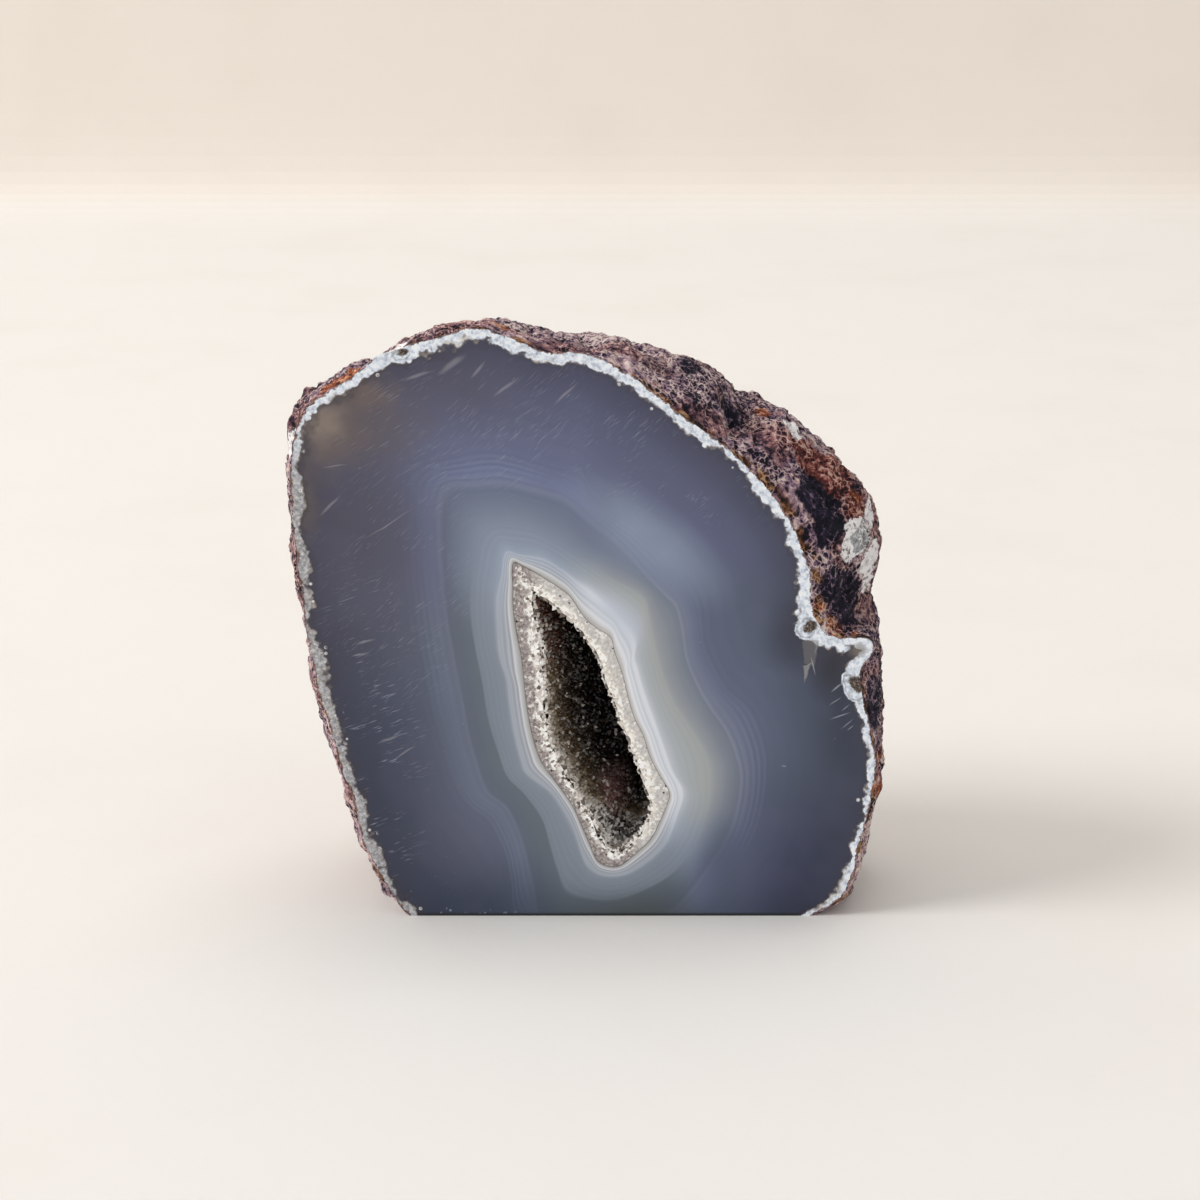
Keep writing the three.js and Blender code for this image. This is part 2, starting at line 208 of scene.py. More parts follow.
# places on the rind where its colour changes: middle in mm, reach in mm, strength
rindPatches = {
    "dark": [
        ((37.6, -18.6, 49.5), 5.5, 1.0), ((36, -20.5, 53), 3, 0.8), ((33.4, -18.6, 66), 4.6, 1.0), ((35.6, -20, 61), 3.5, 0.8),
        ((21.3, -12.6, 76.8), 2.8, 1.0), ((14.9, -11.6, 84), 3, 0.7), ((43.4, -19.8, 34), 4.5, 0.9), ((43.4, -18.5, 33), 6, 0.6), ((10, -16, 84.5), 5, 0.35),
        ((-30, 2, 80), 10, 0.5), ((20, 14, 60), 13, 0.45), ((-20, 18, 40), 14, 0.45), ((38, 2, 30), 12, 0.5),
    ],
    "rust": [
        ((25.7, -10.1, 77.3), 2.2, 1.0), ((39.3, -15.2, 64.8), 1.7, 1.0), ((42.2, -22, 22), 4, 0.6), ((36.5, -22.3, 46.3), 2.6, 0.8), ((33.6, -22.3, 50), 1.6, 0.8), ((39.5, -22, 46.4), 2, 0.8), ((-36, -19, 83), 5, 0.9), ((-27, -19, 88.5), 3, 0.7),
        ((-12, -17, 90.5), 3.5, 0.7), ((43.2, -19, 22), 5, 0.6), ((-41.5, -18, 44), 4, 0.7),
        ((5, 12, 74), 12, 0.4), ((-34, 8, 55), 13, 0.4), ((28, 16, 35), 14, 0.4), ((-8, 22, 26), 12, 0.35),
    ],
    "red": [
        ((36.9, -14.9, 68.5), 4.6, 0.9), ((32.9, -15.8, 71.5), 4.4, 0.8), ((39.5, -15.5, 62.5), 3.4, 0.8),
        ((28, -16, 73.5), 3, 0.5), ((-36, -19, 83), 5, 0.6), ((-8, 6, 86), 9, 0.4), ((-40, 2, 66), 10, 0.4), ((30, 12, 50), 12, 0.4),
    ],
    "white": [
        ((30.3, -13.5, 74.8), 2.6, 0.9), ((39.6, -17, 58.4), 3.8, 1.0), ((42.1, -13.9, 54.4), 3.2, 1.0),
        ((42, -13, 51), 2.6, 0.9), ((42, -12.5, 61.5), 2.8, 0.9), ((-28.5, -21, 87.5), 3.5, 1.0),
        ((-43, -20, 74), 3, 0.7), ((-10, 19, 55), 5, 0.3), ((38, 8, 55), 6, 0.35),
    ],
    "glassy": [((40.4, -16.2, 58.2), 2.5, 1.0)],
}


def lumpHeight(points, angles, depth, back):
    broad = 1.6 * back * smoothNoise(points, 23, 40) + 0.8 * back * smoothNoise(points, 14, 7)
    wornness = 1 - 0.8 * back**3
    height = broad + smoothNoise(points, 11) + (0.8 * smoothNoise(points, 5) + 0.55 * smoothNoise(points, 2.9, 6)) * wornness
    reach = np.hypot(points[:, 0] - stone["axis"][0], points[:, 2] - stone["axis"][1])
    for angle, at, spread, deep in stone["pits"]:
        along = 2 * np.sin((angles - math.radians(angle)) / 2) * reach
        height = height - deep * np.exp(-(along**2 + (depth - at) ** 2) / spread**2)
    return height


def grainHeight(points, along, depth):  # rough grain, drawn out along the rim close behind the face
    streaked = np.stack([along / 2.6, depth * 1.15, np.zeros(len(depth))], axis=1)
    nearFace = 1 - ease(3, 9, depth)
    fine = 0.7 * smoothNoise(points, 2.1) + 0.7 * smoothNoise(points, 1.1, 9) + 0.55 * smoothNoise(points, 0.6, 4)
    drawn = 0.9 * smoothNoise(streaked, 1.3, 2) + 0.6 * smoothNoise(streaked, 0.6, 5)
    away, number = cellNoise(points, 1.9, 3)
    awayFine, _ = cellNoise(points, 1.0, 11)
    dents = -1.9 * (1 - ease(0.1, 0.45, away)) * (number > -0.3) - 1.1 * (1 - ease(0.1, 0.5, awayFine))
    return 0.1 + fine * (1 - 0.5 * nearFace) + drawn * nearFace + dents


def rindSurface(edge, depth):  # edge is x, z of the polished edge for each column
    x, z = (edge - stone["axis"]).T
    angles = np.arctan2(z, x)
    along = np.arange(len(edge)) / len(edge) * 290
    depth = np.full(len(edge), depth)
    full, end = stone["fullestDepth"], stone["noduleDepth"]
    out = np.minimum(depth / full, 1)
    swell = 1 - (1 - out) ** 2
    roll = stone["edgeRoll"] * (1 - (1 - out) ** 4)
    back = np.maximum(0, depth - full) / (end - full)
    rounded = np.minimum(1, 2 * back)
    fullest = radiusAt(stone["fullestSection"], angles) * (1 - rounded)
    fullest = fullest + radiusAt(stone["backSection"], angles) * rounded - stone["edgeRoll"]
    radius = np.hypot(x, z) * (1 - swell) + fullest * swell + roll
    closing = np.sqrt(np.maximum(0, 1 - back**2))
    lift = stone["backLift"] * back**2

    def place(r, d):
        return np.stack([
            stone["axis"][0] + r * np.cos(angles),
            stone["faceY"] + d,
            stone["axis"][1] + lift + r * np.sin(angles)], axis=1)

    bare = place(radius * closing, depth)
    grain = grainHeight(bare, along, depth)
    height = lumpHeight(bare, angles, depth, back) * np.minimum(1, depth / 4)
    height = height + stone["grain"] * grain * np.minimum(1, 0.12 + depth / 1.6)
    points = place((radius + height) * closing, depth + height * back)
    points[:, 1] = np.maximum(points[:, 1], stone["faceY"] + 0.02 * (depth > 0))
    return points, grain


def edgeDistance(points, loop):  # shortest way from points to a line of points, all x, z
    nearest = np.full(len(points), 1e9)
    for a, b in zip(loop[:-1], loop[1:]):
        side = b - a
        t = np.clip(((points - a) @ side) / (side @ side + 1e-12), 0, 1)
        nearest = np.minimum(nearest, np.linalg.norm(points - a - t[:, None] * side, axis=1))
    return nearest


def patchMask(points, patches):
    mask = np.zeros(len(points))
    for middle, reach, strength in patches:
        away = np.linalg.norm(points - np.array(middle), axis=1) + 0.8 * smoothNoise(points, 2.2, reach)
        mask = np.maximum(mask, strength * (1 - ease(0.45 * reach, 1.15 * reach, away)))
    return mask


def makeStoneMesh():
    columns = stone["columns"]
    edge = evenLoop(stone["polishedEdge"], columns)
    ragged = np.stack([edge[:, 0], np.zeros(columns), edge[:, 1]], axis=1)
    outward = edge - stone["axis"]
    outward /= np.linalg.norm(outward, axis=1)[:, None]
    chips = 0.22 * smoothNoise(ragged, 2.3, 5) + 0.14 * smoothNoise(ragged, 0.9, 8)
    edge = edge + outward * chips[:, None]
    x, z = (edge - stone["axis"]).T
    angles = np.arctan2(z, x)
    edgeRadius = np.hypot(x, z)

    # the polished face, ring by ring from the hollow outwards
    limits = [radiusAt(bands[name], angles) for name in bands] + [edgeRadius]
    steps = [2, 2, 2, 2, 12]
    radii, bandValues = [], []
    for level, count in enumerate(steps):
        last = level == len(steps) - 1
        shares = np.linspace(0, 1, count + 1)[:-1]
        if last:  # closer together towards the rim
            shares = 1 - (1 - np.linspace(0, 1, count + 1)) ** 2.2
        for share in shares:
            radii.append(limits[level] * (1 - share) + limits[level + 1] * share)
            bandValues.append(level + share)
    rings, band, grain, depths = [], [], [], []
    along = np.arange(columns) / columns * 290

    def addRing(points, bandValue, grainValue, depth):
        rings.append(points)
        band.append(np.full(columns, bandValue))
        grain.append(np.broadcast_to(grainValue, columns))
        depths.append(np.full(columns, depth))

    # the wall of the hollow behind the crust, from its closed end to the mouth
    mouth = limits[0][:, None] * np.stack([np.cos(angles), np.sin(angles)], axis=1) + stone["axis"]
    for share in np.linspace(0.94, 0, 6)[:-1]:
        here = hollow["depth"] * math.sin(share * math.pi / 2)
        closing = math.cos(share * math.pi / 2)
        flat = (mouth - stone["axis"]) * closing + stone["axis"] + np.array(hollow["lean"]) * here
        addRing(np.stack([flat[:, 0], np.full(columns, stone["faceY"] + here), flat[:, 1]], axis=1), 0, 0, here)
    wallRings = len(rings)
    for radius, value in zip(radii, bandValues):
        flat = radius[:, None] * np.stack([np.cos(angles), np.sin(angles)], axis=1) + stone["axis"]
        addRing(np.stack([flat[:, 0], np.full(columns, float(stone["faceY"])), flat[:, 1]], axis=1), value, 0, 0)
    faceRings = len(rings)

    # the rind, closely spaced near the polished face
    full, end = stone["fullestDepth"], stone["noduleDepth"]
    front = [0.22, 0.5, 0.8, 1.15, 1.5, 1.9, 2.35] + list(np.arange(2.85, full, 0.56))
    behind = [full + (end - full) * math.sin(t) for t in np.linspace(0, 0.5 * math.pi, 63)[:-1]]
    for depth in front + behind:
        points, rough = rindSurface(edge, depth)
        addRing(points, 5, rough, depth)
    backPoint, _ = rindSurface(edge, end)
    endHere = hollow["depth"]
    endPoint = [stone["axis"][0] + hollow["lean"][0] * endHere, stone["faceY"] + endHere,
                stone["axis"][1] + hollow["lean"][1] * endHere]

    vertices = np.vstack([np.array([endPoint])] + rings + [backPoint[:1]])
    total = len(rings)
    i = np.arange(columns)
    j = (i + 1) % columns
    quads = [np.stack([1 + r * columns + i, 1 + (r + 1) * columns + i, 1 + (r + 1) * columns + j,
                       1 + r * columns + j], axis=1) for r in range(total - 1)]
    lastPoint = len(vertices) - 1
    faces = [(0, 1 + b, 1 + a) for a, b in zip(j, i)]
    faces += np.vstack(quads).tolist()
    faces += [(1 + (total - 1) * columns + a, lastPoint, 1 + (total - 1) * columns + b) for a, b in zip(i, j)]
    slots = [0] * columns
    for r in range(total - 1):
        slots += [0 if r < faceRings - 1 else 1] * columns
    slots += [1] * columns
    mesh = bpy.data.meshes.new("agateStone")
    mesh.from_pydata((vertices * mm).tolist(), [], faces)
    mesh.polygons.foreach_set("material_index", slots)

    visibleEdge = edge[edge[:, 1] > -0.6]
    start = np.argmax(np.linalg.norm(visibleEdge - np.roll(visibleEdge, 1, axis=0), axis=1))
    visibleEdge = np.roll(visibleEdge, -start, axis=0)
    values = {
        "band": np.concatenate([[0], *band, [5]]),
        "grain": np.concatenate([[0], *grain, [0]]),
        "behind": np.concatenate([[0], *depths, [end]]),
        "along": np.concatenate([[0], np.tile(along, total), [0]]),
        "rim": np.zeros(len(vertices)),
    }
    onFace = slice(1, 1 + faceRings * columns)
    values["rim"][onFace] = edgeDistance(vertices[onFace][:, [0, 2]], visibleEdge)
    for kind, patches in rindPatches.items():
        values[kind] = patchMask(vertices, patches)
    for name, value in values.items():
        mesh.attributes.new(name, "FLOAT", "POINT").data.foreach_set("value", value.astype(np.float32))
    return mesh


def sawBase(mesh):  # cut the nodule flat at the level that it stands on
    work = bmesh.new()
    work.from_mesh(mesh)
    everything = work.verts[:] + work.edges[:] + work.faces[:]
    cut = bmesh.ops.bisect_plane(work, geom=everything, plane_co=(0, 0, 0), plane_no=(0, 0, -1), clear_outer=True)
    rim = [item for item in cut["geom_cut"] if isinstance(item, bmesh.types.BMEdge)]
    base = bmesh.ops.contextual_create(work, geom=rim, mat_nr=2)
    bmesh.ops.triangulate(work, faces=base["faces"])
    bmesh.ops.recalc_face_normals(work, faces=work.faces)
    work.to_mesh(mesh)
    work.free()


def makeStone():
    mesh = makeStoneMesh()
    sawBase(mesh)
    piece = bpy.data.objects.new("agateStone", mesh)
    bpy.context.collection.objects.link(piece)
    for material in (polishedAgate(), roughRind(), sawnBase()):
        mesh.materials.append(material)
    kinds = np.zeros(len(mesh.polygons), np.int32)
    mesh.polygons.foreach_get("material_index", kinds)
    mesh.polygons.foreach_set("use_smooth", kinds == 1)
    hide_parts("agate_stone")
    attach(piece, "root")
    print("stone:", len(mesh.polygons), "faces")
    return piece


# the crust of quartz crystals in the hollow

hollow = {
    "depth": 25.5,  # of the agate's own wall
    "lean": (0.4, 0.14),  # drift in x and z for each mm of depth
    "gap": 0.35,
    "crustThickness": 2.3,
    "crystalLine": [
        (4, 10.4), (5.7, 11.4), (7.5, 13.2), (8.9, 15.8), (9.5, 18.4), (8.9, 20.4), (7.3, 24.8),
        (5.2, 30.8), (3.4, 35.5), (1.8, 40.6), (0.4, 43.8), (-2.7, 47.6), (-4.7, 49.7), (-6.6, 51.2),
        (-8.3, 52.2), (-8.5, 50.8), (-8.1, 48), (-7.5, 44.5), (-7, 41), (-6.8, 37.5), (-6.8, 34),
        (-6.4, 30.5), (-4.9, 26), (-2.9, 22), (-1, 18.4), (0.4, 15.4), (1.6, 12.8), (2.6, 11.2),
    ],
    "crystalWidth": (0.5, 1.0),  # mm across, least and most
    "crystalHeight": (0.28, 0.85),
    "spacing": 0.5,
}


def hollowPoints(loop, depth, share):
    share = np.asarray(share, float)
    here = depth * np.sin(share * math.pi / 2)
    closing = np.cos(share * math.pi / 2)
    flat = (loop - stone["axis"]) * closing[..., None] + stone["axis"] + here[..., None] * np.array(hollow["lean"])
    return np.stack([flat[..., 0], stone["faceY"] + here, flat[..., 1]], axis=-1)


def makeCrust():
    columns = 360
    outerLoop = evenLoop(bands["mouth"][::-1], columns)
    innerLoop = evenLoop(hollow["crystalLine"], columns)
    middle = np.array(stone["axis"])
    # match the two loops by angle, so that the cut rim between them isn't twisted
    angles = np.arctan2(*(innerLoop - middle).T[::-1])
    uneven = np.stack([innerLoop[:, 0], np.zeros(columns), innerLoop[:, 1]], axis=1)
    innerLoop = innerLoop + 0.22 * np.stack([smoothNoise(uneven, 1.2, 3), smoothNoise(uneven, 1.2, 8)], axis=1)
    outer = radiusAt(bands["mouth"], angles)[:, None] * np.stack([np.cos(angles), np.sin(angles)], axis=1) + middle
    side = np.roll(outer, -1, axis=0) - np.roll(outer, 1, axis=0)
    side /= np.linalg.norm(side, axis=1)[:, None]
    outer = outer + 0.05 * np.stack([-side[:, 1], side[:, 0]], axis=1)
    innerDepth = hollow["depth"] - hollow["crustThickness"]
    rings, slots = [], []
    for share in np.linspace(0.94, 0, 7):
        rings.append(hollowPoints(outer, hollow["depth"] - hollow["gap"], np.full(columns, share)))
    for share in (0.33, 0.66, 1):
        flat = outer * (1 - share) + innerLoop * share
        rings.append(np.stack([flat[:, 0], np.full(columns, float(stone["faceY"])), flat[:, 1]], axis=1))
    for share in np.linspace(0, 0.94, 12)[1:]:
        rings.append(hollowPoints(innerLoop, innerDepth, np.full(columns, share)))
    vertices = np.vstack([
        hollowPoints(middle[None], hollow["depth"] - hollow["gap"], np.ones(1))] + rings + [
        hollowPoints(middle[None], innerDepth, np.ones(1))])
    i = np.arange(columns)
    j = (i + 1) % columns
    faces = [(0, 1 + a, 1 + b) for a, b in zip(j, i)]
    for r in range(len(rings) - 1):
        a, b = 1 + r * columns, 1 + (r + 1) * columns
        faces += np.stack([a + j, a + i, b + i, b + j], axis=1)[:, ::-1].tolist()
        slots += [1 if 6 <= r < 9 else 0] * columns
    last = 1 + (len(rings) - 1) * columns
    faces += [(last + a, len(vertices) - 1, last + b) for a, b in zip(i, j)]
    slots = [0] * columns + slots + [0] * columns
    tint = np.zeros(len(vertices))
    for row, inwards in ((6, 0), (7, 0.33), (8, 0.66), (9, 1)):  # on the cut rim it is the share from agate to crystals
        tint[1 + row * columns:1 + (row + 1) * columns] = inwards

    # single six-sided crystals over the whole inner wall
    spots, facing = [], []
    share = 0.0
    while share < 0.985:
        ringLength = 92 * math.cos(share * math.pi / 2)
        count = max(5, int(ringLength / hollow["spacing"]))
        at = (np.arange(count) + rng.random(count) * 0.8) / count * columns
        low = np.floor(at).astype(int) % columns
        part = (at % 1)[:, None]
        loop = innerLoop[low] * (1 - part) + innerLoop[(low + 1) % columns] * part
        shares = np.clip(share + 0.012 * (rng.random(count) - 0.5), 0, 0.99)
        base = hollowPoints(loop, innerDepth, shares)
        around = hollowPoints(innerLoop[(low + 1) % columns], innerDepth, shares)
        around = around - hollowPoints(innerLoop[low], innerDepth, shares)
        deeper = hollowPoints(loop, innerDepth, shares + 0.01) - hollowPoints(loop, innerDepth, shares - 0.01)
        normal = np.cross(around, deeper)
        normal /= np.linalg.norm(normal, axis=1)[:, None] + 1e-9
        spots.append(base)
        facing.append(normal)
        speed = math.hypot(innerDepth * math.cos(share * math.pi / 2), 15 * math.sin(share * math.pi / 2))
        share += 0.86 * hollow["spacing"] / (speed * math.pi / 2)
    firstRings = sum(len(ring) for ring in spots[:3])
    spots, facing = np.vstack(spots), np.vstack(facing)
    count = len(spots)
    width = hollow["crystalWidth"][0] + rng.random(count) ** 1.8 * np.diff(hollow["crystalWidth"])[0]
    height = hollow["crystalHeight"][0] + rng.random(count) ** 1.6 * np.diff(hollow["crystalHeight"])[0]
    width[:firstRings] *= 1.25  # the row that shows as the jagged edge
    facing = facing + 0.42 * rng.normal(size=(count, 3))
    facing /= np.linalg.norm(facing, axis=1)[:, None]
    helper = np.where(np.abs(facing[:, 2:]) < 0.9, [[0.0, 0.0, 1.0]], [[1.0, 0.0, 0.0]])
    across = np.cross(facing, helper)
    across /= np.linalg.norm(across, axis=1)[:, None]
    other = np.cross(facing, across)
    spin = rng.random(count) * turn
    corners = []
    for level, scale in ((-0.35, 1.0), (0.42, 0.97)):
        for n in range(6):
            angle = spin + n * turn / 6
            wobble = 1 + 0.14 * rng.normal(size=count)
            reach = (0.5 * width * scale * wobble)[:, None]
            corners.append(spots + facing * (height * (level + 0.1 * rng.normal(size=count) * (level > 0)))[:, None]
                           + reach * (np.cos(angle)[:, None] * across + np.sin(angle)[:, None] * other))
    corners.append(spots + facing * height[:, None] + 0.12 * width[:, None] * rng.normal(size=(count, 3)))
    crystalPoints = np.stack(corners, axis=1)
    cutOff = crystalPoints[..., 1] < stone["faceY"] + 0.03
    crystalPoints[..., 1] = np.where(cutOff, stone["faceY"] + 0.03, crystalPoints[..., 1])
    start = len(vertices)
    pattern = [(n, (n + 1) % 6, 6 + (n + 1) % 6, 6 + n) for n in range(6)]
    tips = [(6 + n, 6 + (n + 1) % 6, 12) for n in range(6)]
    base = (start + 13 * np.arange(count))[:, None, None]
    faces += (base + np.array(pattern)[None]).reshape(-1, 4).tolist()
    faces += (base + np.array(tips)[None]).reshape(-1, 3).tolist()
    slots += [0] * (12 * count)
    vertices = np.vstack([vertices, crystalPoints.reshape(-1, 3)])
    tint = np.concatenate([tint, np.repeat(rng.random(count), 13)])

    mesh = bpy.data.meshes.new("crystalCrust")
    mesh.from_pydata((vertices * mm).tolist(), [], faces)
    mesh.polygons.foreach_set("material_index", slots)
    depth = vertices[:, 1] - stone["faceY"]
    mesh.attributes.new("behind", "FLOAT", "POINT").data.foreach_set("value", depth.astype(np.float32))
    mesh.attributes.new("tint", "FLOAT", "POINT").data.foreach_set("value", tint.astype(np.float32))
    mesh.update()
    mesh.materials.append(quartzPoints())
    mesh.materials.append(cutQuartz())
    piece = bpy.data.objects.new("crystalCrust", mesh)
    bpy.context.collection.objects.link(piece)
    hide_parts("crystal_crust")
    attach(piece, "root")
    print("crust:", count, "crystals,", len(mesh.polygons), "faces")
    return piece


# nodes

def newMaterial(name):
    material = bpy.data.materials.new(name)
    material.use_nodes = True
    tree = material.node_tree
    tree.nodes.clear()
    output = tree.nodes.new("ShaderNodeOutputMaterial")
    shader = tree.nodes.new("ShaderNodeBsdfPrincipled")
    tree.links.new(shader.outputs["BSDF"], output.inputs["Surface"])
    return material, tree, shader


def feed(tree, socket, value):
    if isinstance(value, bpy.types.NodeSocket):
        tree.links.new(value, socket)
    else:
        socket.default_value = value


def sums(tree, operation, *values, clamp=False):
    node = tree.nodes.new("ShaderNodeMath")
    node.operation = operation
    node.use_clamp = clamp
    for socket, value in zip(node.inputs, values):
        feed(tree, socket, value)
    return node.outputs[0]


def rescale(tree, value, low, high, toLow=0.0, toHigh=1.0, smooth=True):
    node = tree.nodes.new("ShaderNodeMapRange")
    node.interpolation_type = "SMOOTHSTEP" if smooth else "LINEAR"
    for name, number in (("Value", value), ("From Min", low), ("From Max", high), ("To Min", toLow), ("To Max", toHigh)):
        feed(tree, node.inputs[name], number)
    return node.outputs[0]


def blendColour(tree, factor, first, second, mode="MIX"):
    node = tree.nodes.new("ShaderNodeMix")
    node.data_type = "RGBA"
    node.blend_type = mode
    for index, value in ((0, factor), (6, first), (7, second)):
        feed(tree, node.inputs[index], value)
    return node.outputs[2]


def ramp(tree, factor, stops, mode="LINEAR"):
    node = tree.nodes.new("ShaderNodeValToRGB")
    node.color_ramp.interpolation = mode
    points = node.color_ramp.elements
    while len(points) < len(stops):
        points.new(0.5)
    for point, (at, colour) in zip(points, stops):
        point.position = at
        point.color = colour
    feed(tree, node.inputs["Fac"], factor)
    return node.outputs["Color"]


def grey(value):
    return (value, value, value, 1)


def painted(tree, name):  # a value kept on the mesh's points
    node = tree.nodes.new("ShaderNodeAttribute")
    node.attribute_name = name
    return node.outputs["Fac"]


def inMillimetres(tree):
    place = tree.nodes.new("ShaderNodeTexCoord")
    node = tree.nodes.new("ShaderNodeVectorMath")
    node.operation = "SCALE"
    tree.links.new(place.outputs["Object"], node.inputs[0])
    node.inputs["Scale"].default_value = 1000
    return node.outputs[0]


def stretched(tree, vector, scale=(1, 1, 1), rotate=(0, 0, 0), move=(0, 0, 0), kind="POINT"):
    node = tree.nodes.new("ShaderNodeMapping")
    node.vector_type = kind
    feed(tree, node.inputs["Vector"], vector)
    node.inputs["Location"].default_value = move
    node.inputs["Rotation"].default_value = [math.radians(a) for a in rotate]
    node.inputs["Scale"].default_value = scale
    return node.outputs[0]


def clouds(tree, vector, size, detail=2.0, rough=0.5, twist=0.0):  # size is in mm
    node = tree.nodes.new("ShaderNodeTexNoise")
    feed(tree, node.inputs["Vector"], vector)
    node.inputs["Scale"].default_value = 1 / size
    node.inputs["Detail"].default_value = detail
    node.inputs["Roughness"].default_value = rough
    node.inputs["Distortion"].default_value = twist
    return node.outputs["Fac"]


def cells(tree, vector, size, feature="F1", output="Distance", scatter=1.0):
    node = tree.nodes.new("ShaderNodeTexVoronoi")
    node.feature = feature
    feed(tree, node.inputs["Vector"], vector)
    node.inputs["Scale"].default_value = 1 / size
    node.inputs["Randomness"].default_value = scatter
    return node.outputs[output]


def splitAxes(tree, vector):
    node = tree.nodes.new("ShaderNodeSeparateXYZ")
    feed(tree, node.inputs[0], vector)
    return node.outputs


def spotMask(tree, vector, middle, reach, slant=0, soft=0.6):  # 1 in the middle of an oval on the face, 0 outside
    turned = stretched(tree, stretched(tree, vector, move=(-middle[0], 0, -middle[1])), rotate=(0, slant, 0))
    squeezed = stretched(tree, turned, scale=(1 / reach[0], 0, 1 / reach[1]))
    node = tree.nodes.new("ShaderNodeVectorMath")
    node.operation = "LENGTH"
    tree.links.new(squeezed, node.inputs[0])
    return rescale(tree, node.outputs["Value"], 1, 1 - soft)


# finishes

